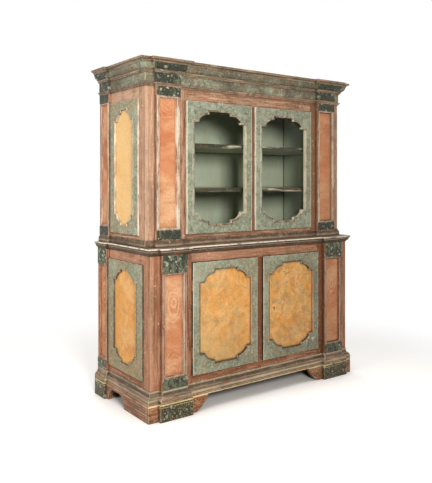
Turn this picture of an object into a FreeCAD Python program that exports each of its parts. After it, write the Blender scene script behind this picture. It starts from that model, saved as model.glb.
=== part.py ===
import FreeCAD, Part
import os
import re
from FreeCAD import Placement, Rotation, Vector

# Two-stage display cabinet: a lower cupboard with two panelled doors and, set back on it,
# an upper stage with two glazed doors. Millimetres. Front faces -Y, +X is to the right,
# the floor is z = 0 and the origin is the centre of the footprint.

os.makedirs("parts", exist_ok=True)
doc = FreeCAD.newDocument("Cabinet")

# Driving sizes
SIZES = {
    # overall
    "overall_height": 2213,
    "cabinet_depth": 734,
    "upper_setback": 74,
    "upper_side_step": 10,
    "upper_back_step": 8,
    # boards
    "side_board": 24,
    "back_board": 14,
    "floor_board": 22,
    "shelf_board": 26,
    "frame_board": 34,
    "skirt_board": 30,
    "dust_board": 12,
    # plinth
    "plinth_height": 114,
    "plinth_out": 26,
    "block_width": 236,
    "side_block_width": 144,
    "arch_rise": 99,
    "arch_half_width": 540,
    "bracket_reach": 92,
    "side_arch_rise": 80,
    "side_arch_front": 286,
    "side_arch_back": 510,
    "side_bracket_reach": 66,
    "back_rail_low": 30,
    # stages
    "lower_stage_height": 1024,
    "lower_bottom_rail": 44,
    "lower_top_rail": 82,
    "lower_post": 48,
    "lower_shelf_height": 580,
    "upper_bottom_rail": 24,
    "upper_top_rail": 69,
    "upper_post": 28,
    "low_shelf_height": 1384,
    "high_shelf_height": 1682,
    "opening_half_width": 558,
    "frame_stile": 54,
    "corner_strip": 74,
    "shelf_setback": 22,
    "stop_lip": 8,
    "lid_drop": 23,
    # doors
    "door_board": 26,
    "door_proud": 12,
    "door_gap": 2,
    "panel_depth": 9,
    "pane_depth": 21,
    "stop_clearance": 0.3,
    "panel_board": 8,
    "pane_thickness": 3,
    "panel_play": 0.3,
    "rebate_width": 10,
    # shaped openings of the doors and side frames
    "opening_margin": 46,
    "ear_width": 40,
    "curve_width": 78,
    "curve_height": 52,
    "step_height": 21,
    "glass_bead_width": 14,
    "panel_bead_width": 8,
    "bead_proud": 3,
    "bead_step": 1.5,
    # side frames
    "side_frame_proud": 11,
    "side_stile": 79,
    "side_frame_gap": 12,
    # pilasters
    "lower_pilaster_width": 174,
    "upper_pilaster_width": 168,
    "pilaster_out": 26,
    "side_pilaster_out": 18,
    "side_pilaster_width": 130,
    "lower_cap_height": 108,
    "lower_foot_height": 66,
    "upper_cap_height": 56,
    "upper_foot_height": 60,
    "cap_proud": 4,
    "shaft_margin": 18,
    "shaft_end_margin": 8,
    "shaft_bevel": 8,
    "shaft_sink": 16,
    # mouldings
    "base_moulding_height": 68,
    "waist_moulding_height": 24,
    "waist_moulding_out": 18,
    "waist_board": 22,
    "waist_lip": 28,
    "upper_base_height": 44,
    "upper_base_out": 12,
    "architrave_height": 21,
    "architrave_out": 16,
    "frieze_height": 62,
    "frieze_out": 6,
    "cornice_height": 85,
    "cornice_out": 66,
    # hinges
    "hinge_height": 66,
    "hinge_inset": 110,
    "leaf_thickness": 1.6,
    "leaf_reach": 16,
    "eye_radius": 4,
    "lug_half": 2.6,
    "pin_offset": 3,
    "pin_radius": 2,
    "pin_play": 0.05,
    "hinge_clearance": 0.3,
    # lock of the lower right door
    "lock_height": 84,
    "lock_width": 122,
    "lock_thickness": 14,
    "lock_wall": 2,
    "lock_centre_height": 575,
    "keyhole_distance": 106,
    "keyhole_radius": 3.5,
    "keyhole_slot": 3,
    "keyhole_length": 13,
    "bolt_height": 22,
    "bolt_thickness": 6,
    "bolt_length": 86,
    "bolt_throw": 12,
    "bolt_play": 0.3,
    "mortise_depth": 16,
    # how far a cutting solid runs past the wood that it cuts
    "overrun": 5,
}

sizes = doc.addObject("Spreadsheet::Sheet", "Sizes")
for row, (alias, value) in enumerate(SIZES.items(), start=1):
    sizes.set("A%d" % row, alias)
    sizes.set("B%d" % row, str(value))
    sizes.setAlias("B%d" % row, alias)
doc.recompute()


def bound(formula):
    """A formula in the names above, as an expression on the sheet's cells."""
    return re.sub(r"[a-z][a-z_]+", lambda word: "Sizes." + word.group(0), formula)


def mm(formula):
    """The present value of a formula."""
    return float(sizes.evalExpression(bound(formula)))


# Places that several pieces share, as formulas
LOWER_FACE = "(waist_lip + pilaster_out - cabinet_depth / 2)"
UPPER_FACE = "(waist_lip + pilaster_out - cabinet_depth / 2 + upper_setback)"
LOWER_BACK = "(cabinet_depth / 2)"
UPPER_BACK = "(cabinet_depth / 2 - upper_back_step)"
PILASTER_CENTRE = "(opening_half_width + frame_stile + lower_pilaster_width / 2)"
LOWER_HALF = "(opening_half_width + frame_stile + lower_pilaster_width + corner_strip)"
UPPER_HALF = "(%s - upper_side_step)" % LOWER_HALF
BASE_TOP = "(plinth_height + base_moulding_height)"
WAIST_TOP = "(lower_stage_height + waist_board)"
ARCHITRAVE_LOW = "(overall_height - cornice_height - frieze_height - architrave_height)"
CARCASS_TOP = "(overall_height - lid_drop)"
LOWER_OPENING = (
    "(plinth_height + base_moulding_height + lower_bottom_rail)",
    "(lower_stage_height - lower_top_rail)",
)
UPPER_OPENING = (
    "(lower_stage_height + waist_board + upper_base_height + upper_bottom_rail)",
    "(%s - upper_top_rail)" % ARCHITRAVE_LOW,
)


class Stage:
    """What the lower and the upper stage have in common."""

    def __init__(self, name, face, back, half, low, high, opening, post, pilaster_width, foot, cap):
        self.name = name
        self.face = face
        self.back = back
        self.half = half
        self.low = low
        self.high = high
        self.opening = opening
        self.post = post
        self.pilaster_width = pilaster_width
        self.foot = foot
        self.cap = cap
        self.door_inner = "(%s / 2 + door_gap)" % post
        self.door_outer = "(opening_half_width - door_gap)"
        self.door_low = "(%s + door_gap)" % opening[0]
        self.door_high = "(%s - door_gap)" % opening[1]
        self.door_back = "(%s + door_board - door_proud)" % face
        self.inside = "(%s + frame_board)" % face
        self.hinge_lows = (
            "(%s + hinge_inset)" % self.door_low,
            "(%s - hinge_inset - hinge_height)" % self.door_high,
        )


LOWER = Stage(
    "lower", LOWER_FACE, LOWER_BACK, LOWER_HALF, "plinth_height", "lower_stage_height",
    LOWER_OPENING, "lower_post", "lower_pilaster_width",
    (BASE_TOP, "lower_foot_height"),
    ("(lower_stage_height - waist_moulding_height - lower_cap_height)", "lower_cap_height"),
)
UPPER = Stage(
    "upper", UPPER_FACE, UPPER_BACK, UPPER_HALF, WAIST_TOP, CARCASS_TOP,
    UPPER_OPENING, "upper_post", "upper_pilaster_width",
    ("(%s + upper_base_height)" % WAIST_TOP, "upper_foot_height"),
    ("(%s - upper_cap_height)" % ARCHITRAVE_LOW, "upper_cap_height"),
)

subparts = []


def keep(item, name):
    """Give an object the name that its piece has on the bench and list it for export."""
    item.Label = name
    subparts.append(item)
    return item


def place(item, x, y, z):
    for axis, formula in zip("xyz", (x, y, z)):
        item.setExpression("Placement.Base." + axis, bound(formula))
    return item


def box(name, lows, highs):
    """A board between two corners, each given as three formulas."""
    item = doc.addObject("Part::Box", name)
    for side, low, high in zip(("Length", "Width", "Height"), lows, highs):
        item.setExpression(side, bound("(%s) - (%s)" % (high, low)))
    return place(item, *lows)


def mirrored_box(name, hand, lows, highs):
    """The same, where x is measured outwards from the middle and hand is -1 or 1."""
    if hand > 0:
        return box(name, lows, highs)
    left = ("0 - (%s)" % highs[0],) + tuple(lows[1:])
    right = ("0 - (%s)" % lows[0],) + tuple(highs[1:])
    return box(name, left, right)


def rod(name, radius, height, x, y, z):
    item = doc.addObject("Part::Cylinder", name)
    item.setExpression("Radius", bound(radius))
    item.setExpression("Height", bound(height))
    return place(item, x, y, z)


def fuse(name, shapes):
    item = doc.addObject("Part::MultiFuse", name)
    item.Shapes = shapes
    return item


def cut(name, base, tools):
    item = doc.addObject("Part::Cut", name)
    item.Base = base
    item.Tool = tools[0] if len(tools) == 1 else fuse(name + "_tools", tools)
    return item


def group(name, shapes):
    item = doc.addObject("Part::Compound", name)
    item.Links = shapes
    return item


def hand_name(hand):
    return "left" if hand < 0 else "right"


# Sketches and bodies
def new_body(name):
    return doc.addObject("PartDesign::Body", name)


def sketch_on(body, role, name, shift="0"):
    """A sketch on one of the body's own origin planes, moved along the plane's normal."""
    sketch = body.newObject("Sketcher::SketchObject", name)
    plane = next(item for item in body.Origin.OriginFeatures if item.Role == role)
    sketch.AttachmentSupport = [(plane, "")]
    sketch.MapMode = "FlatFace"
    sketch.setExpression("AttachmentOffset.Base.z", bound(shift))
    return sketch


def draw_lines(sketch, points, closed=True):
    ends = points[1:] + points[:1] if closed else points[1:]
    for start, end in zip(points, ends):
        sketch.addGeometry(Part.LineSegment(Vector(*start, 0), Vector(*end, 0)))


def draw_rectangle(sketch, low_x, low_y, high_x, high_y):
    draw_lines(sketch, [(low_x, low_y), (high_x, low_y), (high_x, high_y), (low_x, high_y)])


def pad(body, sketch, length):
    item = body.newObject("PartDesign::Pad", sketch.Name + "_pad")
    item.Profile = sketch
    item.setExpression("Length", bound(length))
    return item


def pocket(body, sketch, length, towards_normal):
    """Cut away the sketch's outline over a length, on the side that the flag says."""
    item = body.newObject("PartDesign::Pocket", sketch.Name + "_pocket")
    item.Profile = sketch
    item.setExpression("Length", bound(length))
    item.Reversed = towards_normal
    return item


# Plinth: arched skirts between plain blocks
def arch_brackets(low, high, rise, reach, hollow_share):
    """The two brackets of an arch over the floor: coves over one half, bellies under it."""
    bulge = reach * hollow_share
    climb = rise * hollow_share
    left = Part.Arc(
        Vector(low, 0, 0),
        Vector(low + reach - bulge, climb, 0),
        Vector(low + reach, rise, 0),
    )
    right = Part.Arc(
        Vector(high - reach, rise, 0),
        Vector(high - reach + bulge, climb, 0),
        Vector(high, 0, 0),
    )
    return left, right


def arched_board(name, role, low, high, arch_low, arch_high, rise, reach, shift):
    """A skirt drawn in its own plane, from the floor up to the plinth's height."""
    belly_share = 0.40
    body = new_body(name)
    sketch = sketch_on(body, role, name + "_outline", shift)
    top = mm("plinth_height")
    corners = [(arch_low, 0), (low, 0), (low, top), (high, top), (high, 0), (arch_high, 0)]
    draw_lines(sketch, corners, closed=False)
    for bracket in arch_brackets(arch_low, arch_high, rise, reach, belly_share):
        sketch.addGeometry(bracket)
    draw_lines(sketch, [(arch_low + reach, rise), (arch_high - reach, rise)], closed=False)
    pad(body, sketch, "skirt_board")
    return body


def bracket_foot(name, corner, toe, tip, rise, curve, shift):
    """The foot of a side skirt, from the corner to its toe, and up to the tip of its curve."""
    body = new_body(name)
    sketch = sketch_on(body, "YZ_Plane", name + "_outline", shift)
    draw_lines(sketch, [(toe, 0), (corner, 0), (corner, rise), (tip, rise)], closed=False)
    sketch.addGeometry(curve)
    pad(body, sketch, "skirt_board")
    return body


def side_skirt(name, hand):
    """A straight rail glued on two bracket feet, which leave the arch between them."""
    outer = "%s + plinth_out" % LOWER_HALF
    shift = "0 - (%s)" % outer if hand < 0 else "%s - skirt_board" % outer
    front = LOWER_FACE + " - plinth_out + skirt_board"
    toes = (mm(LOWER_FACE + " + side_arch_front"), mm(LOWER_FACE + " + side_arch_back"))
    rise = mm("side_arch_rise")
    reach = mm("side_bracket_reach")
    cove_share = 0.70
    curves = arch_brackets(*toes, rise, reach, cove_share)
    feet = [
        bracket_foot(name + "_front_foot", mm(front), toes[0], toes[0] + reach, rise,
                     curves[0], shift),
        bracket_foot(name + "_rear_foot", mm(LOWER_BACK), toes[1], toes[1] - reach, rise,
                     curves[1], shift),
    ]
    rail = mirrored_box(
        name + "_rail", hand,
        (outer + " - skirt_board", front, "side_arch_rise"),
        (outer, LOWER_BACK, "plinth_height"),
    )
    return group(name + "_boards", [rail] + feet)


def make_plinth():
    half = mm(LOWER_HALF + " + plinth_out")
    front = arched_board(
        "plinth_front_body", "XZ_Plane", -half, half,
        -mm("arch_half_width"), mm("arch_half_width"), mm("arch_rise"), mm("bracket_reach"),
        "0 - (%s - plinth_out + skirt_board)" % LOWER_FACE,
    )
    keep(front, "plinth_front")
    for hand in (-1, 1):
        outer = "%s + plinth_out" % LOWER_HALF
        keep(side_skirt("plinth_" + hand_name(hand), hand), "plinth_" + hand_name(hand))
        front_block = mirrored_box(
            "plinth_block_front_%s_box" % hand_name(hand), hand,
            (PILASTER_CENTRE + " - block_width / 2",
             "%s - plinth_out - pilaster_out" % LOWER_FACE, "0"),
            (PILASTER_CENTRE + " + block_width / 2", "%s - plinth_out" % LOWER_FACE,
             "plinth_height"),
        )
        keep(front_block, "plinth_block_front_" + hand_name(hand))
        rear_block = mirrored_box(
            "plinth_block_rear_%s_box" % hand_name(hand), hand,
            (outer, "%s - side_block_width" % LOWER_BACK, "0"),
            (outer + " + side_pilaster_out", LOWER_BACK, "plinth_height"),
        )
        keep(rear_block, "plinth_block_rear_" + hand_name(hand))
    inner = "(%s + plinth_out - skirt_board)" % LOWER_HALF
    rail = box("plinth_back_rail", ("0 - " + inner, LOWER_BACK + " - skirt_board", "back_rail_low"),
               (inner, LOWER_BACK, "plinth_height"))
    keep(rail, "plinth_back")


# Mouldings: one profile, swept with mitred corners round the front and both sides, and
# broken forward round each pilaster
def plan_points(stage):
    """The body's plan line from the back left corner to the back right one."""
    half = mm(stage.half)
    face = mm(stage.face)
    back = mm(stage.back)
    outer = half + mm("side_pilaster_out")
    side_front = back - mm("side_pilaster_width")
    forward = face - mm("pilaster_out")
    near = mm("%s - %s / 2" % (PILASTER_CENTRE, stage.pilaster_width))
    far = mm("%s + %s / 2" % (PILASTER_CENTRE, stage.pilaster_width))
    right = [
        (near, face), (near, forward), (far, forward), (far, face), (half, face),
        (half, side_front), (outer, side_front), (outer, back),
    ]
    left = [(-x, y) for x, y in reversed(right)]
    return left + right


def swept_moulding(name, stage, low, profile, body=None):
    """Sweep a profile, given as (out, up) pieces, round the plan line of a stage."""
    body = body or new_body(name + "_body")
    points = plan_points(stage)
    path = sketch_on(body, "XY_Plane", name + "_path", low)
    draw_lines(path, points, closed=False)
    section = sketch_on(body, "XZ_Plane", name + "_section", "0 - %s" % stage.back)
    start = points[0][0]
    base = mm(low)

    def point(pair):
        return Vector(start - pair[0], base + pair[1], 0)

    for piece in profile:
        if len(piece) == 3:
            section.addGeometry(Part.Arc(*[point(pair) for pair in piece]))
        else:
            section.addGeometry(Part.LineSegment(*[point(pair) for pair in piece]))
    sweep = body.newObject("PartDesign::AdditivePipe", name + "_sweep")
    sweep.Profile = section
    sweep.Spine = (path, [])
    sweep.Transition = "Right corner"
    return body


# Each profile's corners, as shares of the moulding's reach and height from its foot against
# the wood; a third share bends the way to the next corner
BASE_SHARES = [
    (0, 0), (1, 0), (1, 0.15, -0.10), (0.60, 0.50), (0.45, 0.50, 0.12), (0.15, 0.86),
    (0.15, 1), (0, 1),
]
WAIST_SHARES = [(0, 0), (0.25, 0), (0.25, 0.20, -0.12), (1, 0.85), (1, 1), (0, 1)]
NOSE_SHARES = [
    (0, 0), (0.72, 0), (0.72, 0.18, -0.10), (1, 0.60), (1, 0.85), (0.95, 1), (0, 1),
]
UPPER_BASE_SHARES = [(0, 0), (1, 0), (1, 0.45, -0.11), (0.35, 0.80), (0.35, 1), (0, 1)]
ARCHITRAVE_SHARES = [
    (0, 0), (0.35, 0), (0.35, 0.25), (0.80, 0.65), (1, 0.65), (1, 0.90), (0.80, 1), (0, 1),
]
FRIEZE_SHARES = [(0, 0), (1, 0), (1, 1), (0, 1)]
CORNICE_SHARES = [
    (0, 0), (0.18, 0), (0.18, 0.06), (0.28, 0.10), (0.32, 0.18), (0.32, 0.21),
    (0.24, 0.21, -0.16), (0.68, 0.67), (0.74, 0.67), (0.74, 0.74, 0.12), (1, 0.85), (1, 1),
    (0, 1),
]


def bend(start, end, bulge_share):
    """A point beside the middle of a chord, a share of its length to the left of it."""
    run, climb = end[0] - start[0], end[1] - start[1]
    middle = ((start[0] + end[0]) / 2, (start[1] + end[1]) / 2)
    return (middle[0] - climb * bulge_share, middle[1] + run * bulge_share)


def profile(shares, reach, height):
    """A closed profile as pieces of two points, or of three where the way is bent."""
    scaled = [(mm(reach) * share[0], mm(height) * share[1]) for share in shares]
    pieces = []
    for number, share in enumerate(shares):
        start = scaled[number]
        end = scaled[(number + 1) % len(scaled)]
        if len(share) == 3:
            pieces.append((start, bend(start, end, share[2]), end))
        else:
            pieces.append((start, end))
    return pieces


def make_moulding(name, stage, low, shares, reach, height):
    keep(swept_moulding(name, stage, low, profile(shares, reach, height)), name)


def make_mouldings():
    make_moulding("base_moulding", LOWER, "plinth_height", BASE_SHARES,
                  "plinth_out", "base_moulding_height")
    make_moulding("waist_moulding", LOWER, "(lower_stage_height - waist_moulding_height)",
                  WAIST_SHARES, "waist_moulding_out", "waist_moulding_height")
    top = new_body("waist_top_body")
    plan = sketch_on(top, "XY_Plane", "waist_top_plan", "lower_stage_height")
    draw_lines(plan, plan_points(LOWER))
    pad(top, plan, "waist_board")
    nose = profile(NOSE_SHARES, "waist_lip", "waist_board")
    swept_moulding("waist_nose", LOWER, "lower_stage_height", nose, top)
    keep(top, "waist_top")
    make_moulding("upper_base_moulding", UPPER, WAIST_TOP, UPPER_BASE_SHARES,
                  "upper_base_out", "upper_base_height")
    make_moulding("architrave", UPPER, ARCHITRAVE_LOW, ARCHITRAVE_SHARES,
                  "architrave_out", "architrave_height")
    make_moulding("frieze", UPPER, "(%s + architrave_height)" % ARCHITRAVE_LOW, FRIEZE_SHARES,
                  "frieze_out", "frieze_height")
    make_moulding("cornice", UPPER, "(overall_height - cornice_height)", CORNICE_SHARES,
                  "cornice_out", "cornice_height")


# Carcasses
def hinge_mortises(stage, hand, first, last, name):
    """The shallow recess of each hinge leaf, between two distances from the middle."""
    return [
        mirrored_box(
            "%s_%s_%d" % (name, hand_name(hand), number), hand,
            (first, "%s - overrun" % stage.face, low),
            (last, "%s + leaf_reach" % stage.face, low + " + hinge_height"),
        )
        for number, low in enumerate(stage.hinge_lows)
    ]


def make_face_frame(stage):
    """Stiles, rails and middle post in one plane, with a stop lip above and below each door."""
    name = stage.name
    blank = box(
        name + "_frame_blank", ("0 - " + stage.half, stage.face, stage.low),
        (stage.half, stage.inside, stage.high),
    )
    tools = []
    low, high = stage.opening
    for hand in (-1, 1):
        side = hand_name(hand)
        tools.append(mirrored_box(
            "%s_doorway_%s" % (name, side), hand,
            (stage.post + " / 2", stage.face + " - overrun", low + " + stop_lip"),
            ("opening_half_width", stage.inside + " + overrun", high + " - stop_lip"),
        ))
        tools.append(mirrored_box(
            "%s_door_seat_%s" % (name, side), hand,
            (stage.post + " / 2", stage.face + " - overrun", low),
            ("opening_half_width", stage.door_back + " + stop_clearance", high),
        ))
        tools += hinge_mortises(
            stage, hand, "opening_half_width - overrun", "opening_half_width + leaf_thickness",
            name + "_frame_mortise",
        )
    if stage is LOWER:
        tools.append(box(
            "bolt_mortise",
            ("lower_post / 2 - mortise_depth", BOLT_FRONT + " - bolt_play", BOLT_LOW + " - bolt_play"),
            ("lower_post / 2 + overrun", BOLT_FRONT + " + bolt_thickness + bolt_play",
             BOLT_LOW + " + bolt_height + bolt_play"),
        ))
    keep(cut(name + "_face_frame_cut", blank, tools), name + "_face_frame")


def make_carcass(stage, floor_top, ceiling):
    """Sides, floor, ceiling and back of one stage; the ceiling is left out where it is None."""
    name = stage.name
    for hand in (-1, 1):
        keep(mirrored_box(
            "%s_side_%s_box" % (name, hand_name(hand)), hand,
            (stage.half + " - side_board", stage.inside, stage.low),
            (stage.half, stage.back, stage.high),
        ), "%s_side_%s" % (name, hand_name(hand)))
    inner = "(%s - side_board)" % stage.half
    rear = "(%s - back_board)" % stage.back
    keep(box(name + "_back_box", ("0 - " + inner, rear, stage.low),
             (inner, stage.back, stage.high)), name + "_back")
    keep(box(name + "_floor_box", ("0 - " + inner, stage.inside, floor_top + " - floor_board"),
             (inner, rear, floor_top)), name + "_floor")
    if ceiling:
        keep(box(name + "_ceiling_box", ("0 - " + inner, stage.inside, ceiling),
                 (inner, rear, ceiling + " + floor_board")), name + "_ceiling")


def make_shelf(stage, name, height):
    inner = "(%s - side_board)" % stage.half
    keep(box(name + "_box", ("0 - " + inner, stage.inside + " + shelf_setback", height),
             (inner, "%s - back_board" % stage.back, height + " + shelf_board")), name)


def make_dust_board():
    keep(box("dust_board_box", ("0 - " + UPPER_HALF, UPPER_FACE, CARCASS_TOP),
             (UPPER_HALF, UPPER_BACK, CARCASS_TOP + " + dust_board")), "dust_board")


# Pilasters: a shaft with a sunk panel between a proud foot block and a proud cap block
def sunk_panel(name, length, width):
    """A wedge-sided block that sinks a panel; its wide face lies on its own y = 0."""
    item = doc.addObject("Part::Wedge", name)
    item.setExpression("Xmin", bound("0 - (%s) / 2" % width))
    item.setExpression("Xmax", bound("(%s) / 2" % width))
    item.setExpression("X2min", bound("shaft_bevel - (%s) / 2" % width))
    item.setExpression("X2max", bound("(%s) / 2 - shaft_bevel" % width))
    item.setExpression("Zmin", bound("0"))
    item.setExpression("Zmax", bound(length))
    item.setExpression("Z2min", bound("shaft_bevel"))
    item.setExpression("Z2max", bound("(%s) - shaft_bevel" % length))
    item.setExpression("Ymin", bound("0"))
    item.setExpression("Ymax", bound("shaft_sink"))
    return item


def shaft_span(stage):
    low = "(%s + %s + shaft_end_margin)" % stage.foot
    high = "(%s - shaft_end_margin)" % stage.cap[0]
    return low, high


def make_front_pilaster(stage, hand):
    name = "%s_pilaster_front_%s" % (stage.name, hand_name(hand))
    width = stage.pilaster_width
    near = "%s - %s / 2" % (PILASTER_CENTRE, width)
    far = "%s + %s / 2" % (PILASTER_CENTRE, width)
    front = "(%s - pilaster_out)" % stage.face
    pieces = [mirrored_box(name + "_core", hand, (near, front, stage.low),
                           (far, stage.face, stage.high))]
    for end, (low, height) in (("foot", stage.foot), ("cap", stage.cap)):
        pieces.append(mirrored_box(
            "%s_%s" % (name, end), hand,
            (near + " - cap_proud", front + " - cap_proud", low),
            (far + " + cap_proud", stage.face, "%s + %s" % (low, height)),
        ))
    low, high = shaft_span(stage)
    panel = sunk_panel(name + "_panel", "%s - %s" % (high, low), width + " - 2 * shaft_margin")
    place(panel, "%d * %s" % (hand, PILASTER_CENTRE), front, low)
    keep(cut(name + "_cut", fuse(name + "_fuse", pieces), [panel]), name)


def make_rear_pilaster(stage, hand):
    name = "%s_pilaster_rear_%s" % (stage.name, hand_name(hand))
    outer = "(%s + side_pilaster_out)" % stage.half
    front = "(%s - side_pilaster_width)" % stage.back
    pieces = [mirrored_box(name + "_core", hand, (stage.half, front, stage.low),
                           (outer, stage.back, stage.high))]
    for end, (low, height) in (("foot", stage.foot), ("cap", stage.cap)):
        pieces.append(mirrored_box(
            "%s_%s" % (name, end), hand,
            (stage.half, front + " - cap_proud", low),
            (outer + " + cap_proud", stage.back, "%s + %s" % (low, height)),
        ))
    low, high = shaft_span(stage)
    panel = sunk_panel(name + "_panel", "%s - %s" % (high, low),
                       "side_pilaster_width - 2 * shaft_margin")
    panel.Placement = Placement(Vector(), Rotation(Vector(0, 0, 1), hand * 90))
    place(panel, "%d * %s" % (hand, outer), "%s - side_pilaster_width / 2" % stage.back, low)
    keep(cut(name + "_cut", fuse(name + "_fuse", pieces), [panel]), name)


# Shaped openings: straight sides, an ear at each corner, a swelling quarter curve, a step
# and a straight top, the same below
def shaped_outline(half_width, low, high, ear, curve_width, inset=0):
    """The outline as a wire in x and y, symmetric about x = 0, drawn in by an even inset."""
    swell_share = 0.64
    curve_height = mm("curve_height")
    step = mm("step_height")
    shoulder = half_width - ear - inset
    crown = half_width - ear - curve_width
    reach = (curve_width - inset) * swell_share
    rise = (curve_height - inset) * swell_share
    edges = []

    def line(start, end):
        edges.append(Part.LineSegment(Vector(*start, 0), Vector(*end, 0)).toShape())

    for upward, level in ((1, high), (-1, low)):
        spring = level - upward * (step + curve_height)
        edge_level = level - upward * inset
        for side in (-1, 1):
            curve_start = (side * shoulder, spring)
            curve_end = (side * crown, edge_level - upward * step)
            middle = (side * (crown + reach), spring + upward * rise)
            arc = Part.Arc(Vector(*curve_start, 0), Vector(*middle, 0), Vector(*curve_end, 0))
            edges.append(arc.toShape())
            corners = [
                (side * (half_width - inset), spring - upward * inset),
                (side * shoulder, spring - upward * inset),
            ]
            if inset:
                corners.append(curve_start)
                line(curve_end, (side * (crown - inset), edge_level - upward * step))
            for start, end in zip(corners, corners[1:]):
                line(start, end)
            line((side * (crown - inset), edge_level - upward * step),
                 (side * (crown - inset), edge_level))
        line((inset - crown, edge_level), (crown - inset, edge_level))
    straight = step + curve_height + inset
    for side in (-1, 1):
        line((side * (half_width - inset), low + straight),
             (side * (half_width - inset), high - straight))
    return Part.Wire(Part.__sortEdges__(edges))


def draw_wire(sketch, wire):
    for edge in wire.Edges:
        first, last = edge.ParameterRange
        if isinstance(edge.Curve, Part.Circle):
            sketch.addGeometry(Part.ArcOfCircle(edge.Curve, first, last))
        else:
            start, end = (vertex.Point for vertex in edge.Vertexes)
            sketch.addGeometry(Part.LineSegment(start, end))


def shaped_frame(name, width, height, board, outline, bead_width, rebate=None):
    """A frame in its own plane, its back on that plane, centred on x = 0, with its foot at 0.

    The shaped opening goes right through and a bead stands proud round it. Where a rebate is
    given as a depth, it takes the panel or pane behind, and the bead has a step outside.
    """
    body = new_body(name + "_body")
    half = mm(width) / 2
    tall = mm(height)
    blank = sketch_on(body, "XZ_Plane", name + "_blank")
    draw_rectangle(blank, -half, 0, half, tall)
    pad(body, blank, board)
    inner = shaped_outline(*outline, inset=mm(bead_width))
    tiers = [("bead", 0, "bead_proud - bead_step" if rebate else "bead_proud")]
    if rebate:
        tiers.append(("crest", mm("bead_step"), "bead_proud"))
    for label, outside, proud in tiers:
        tier = sketch_on(body, "XZ_Plane", "%s_%s" % (name, label), board)
        draw_wire(tier, shaped_outline(*outline, inset=outside))
        draw_wire(tier, inner)
        pad(body, tier, proud)
    light = sketch_on(body, "XZ_Plane", name + "_light", board)
    draw_wire(light, inner)
    pocket(body, light, board, False)
    if rebate:
        margin = mm("opening_margin - rebate_width")
        seat = sketch_on(body, "XZ_Plane", name + "_rebate")
        draw_rectangle(seat, margin - half, margin, half - margin, tall - margin)
        pocket(body, seat, rebate, True)
    return body


# Side frames, applied on the side boards
SIDE_MARGIN_SHARE = 0.15
SIDE_EAR_SHARE = 0.07
SIDE_CURVE_SHARE = 0.15


def make_side_frame(stage, hand):
    name = "%s_side_frame_%s" % (stage.name, hand_name(hand))
    front = "(%s + side_stile)" % stage.face
    rear = "(%s - side_pilaster_width - side_frame_gap)" % stage.back
    width = "(%s - %s)" % (rear, front)
    low = stage.door_low
    height = "(%s - %s)" % (stage.door_high, stage.door_low)
    wide = mm(width)
    outline = (
        wide / 2 - wide * SIDE_MARGIN_SHARE, mm("opening_margin"),
        mm(height + " - opening_margin"), wide * SIDE_EAR_SHARE, wide * SIDE_CURVE_SHARE,
    )
    body = shaped_frame(name, width, height, "side_frame_proud", outline, "panel_bead_width")
    body.Placement = Placement(Vector(), Rotation(Vector(0, 0, 1), hand * 90))
    place(body, "%d * %s" % (hand, stage.half), "(%s + %s) / 2" % (front, rear), low)
    keep(body, name)


# Doors
def make_door(stage, hand):
    side = hand_name(hand)
    name = "%s_door_%s" % (stage.name, side)
    glazed = stage is UPPER
    depth = "pane_depth" if glazed else "panel_depth"
    width = "(%s - %s)" % (stage.door_outer, stage.door_inner)
    height = "(%s - %s)" % (stage.door_high, stage.door_low)
    margin = mm("opening_margin")
    outline = (
        mm(width) / 2 - margin, margin, mm(height) - margin, mm("ear_width"), mm("curve_width"),
    )
    body = shaped_frame(
        name, width, height, "door_board", outline,
        "glass_bead_width" if glazed else "panel_bead_width", "door_board - " + depth,
    )
    middle = "(%s + %s) / 2" % (stage.door_inner, stage.door_outer)
    place(body, "%d * %s" % (hand, middle), stage.door_back, stage.door_low)
    mortises = hinge_mortises(
        stage, hand, stage.door_outer + " - leaf_thickness", stage.door_outer + " + overrun",
        name + "_mortise",
    )
    for mortise in mortises:
        mortise.setExpression("Placement.Base.y", bound(stage.face + " - door_proud - overrun"))
        mortise.setExpression("Width", bound("door_proud + overrun + leaf_reach"))
    keep(cut(name + "_cut", body, mortises), name)
    make_door_panel(stage, hand, glazed)


def make_door_panel(stage, hand, glazed):
    """The painted panel or the glass, let into the door's rebate from behind."""
    name = "%s_%s_%s" % (stage.name, "pane" if glazed else "panel", hand_name(hand))
    margin = "(opening_margin - rebate_width + panel_play)"
    front = "(%s - door_proud + %s)" % (stage.face, "pane_depth" if glazed else "panel_depth")
    thickness = "pane_thickness" if glazed else "panel_board"
    plate = mirrored_box(
        name + "_plate", hand,
        (stage.door_inner + " + " + margin, front, stage.door_low + " + " + margin),
        (stage.door_outer + " - " + margin, front + " + " + thickness,
         stage.door_high + " - " + margin),
    )
    if glazed or hand < 0:
        keep(plate, name)
        return
    keep(cut(name + "_cut", plate, [keyhole(name, front)]), name)


def keyhole(name, front):
    """A round hole over a slot, on the key's line, through whatever lies in front of it."""
    x = "(%s + keyhole_distance)" % LOWER.door_inner
    hole = rod(name + "_round", "keyhole_radius", "door_board + lock_thickness",
               x, front + " - overrun", "lock_centre_height")
    hole.Placement = Placement(Vector(), Rotation(Vector(1, 0, 0), -90))
    place(hole, x, front + " - overrun", "lock_centre_height")
    slot = box(
        name + "_slot",
        (x + " - keyhole_slot / 2", front + " - overrun", "lock_centre_height - keyhole_length"),
        (x + " + keyhole_slot / 2", front + " - overrun + door_board + lock_thickness",
         "lock_centre_height"),
    )
    return fuse(name + "_keyhole", [hole, slot])


# Lift-off hinges: two to a door, each a frame leaf whose lug carries a pin, and a door leaf
# whose eye hangs on the pin
def hinge_axis(stage):
    return (
        "(%s + pin_offset)" % stage.door_outer,
        "(%s - hinge_clearance - eye_radius)" % stage.face,
    )


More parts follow.
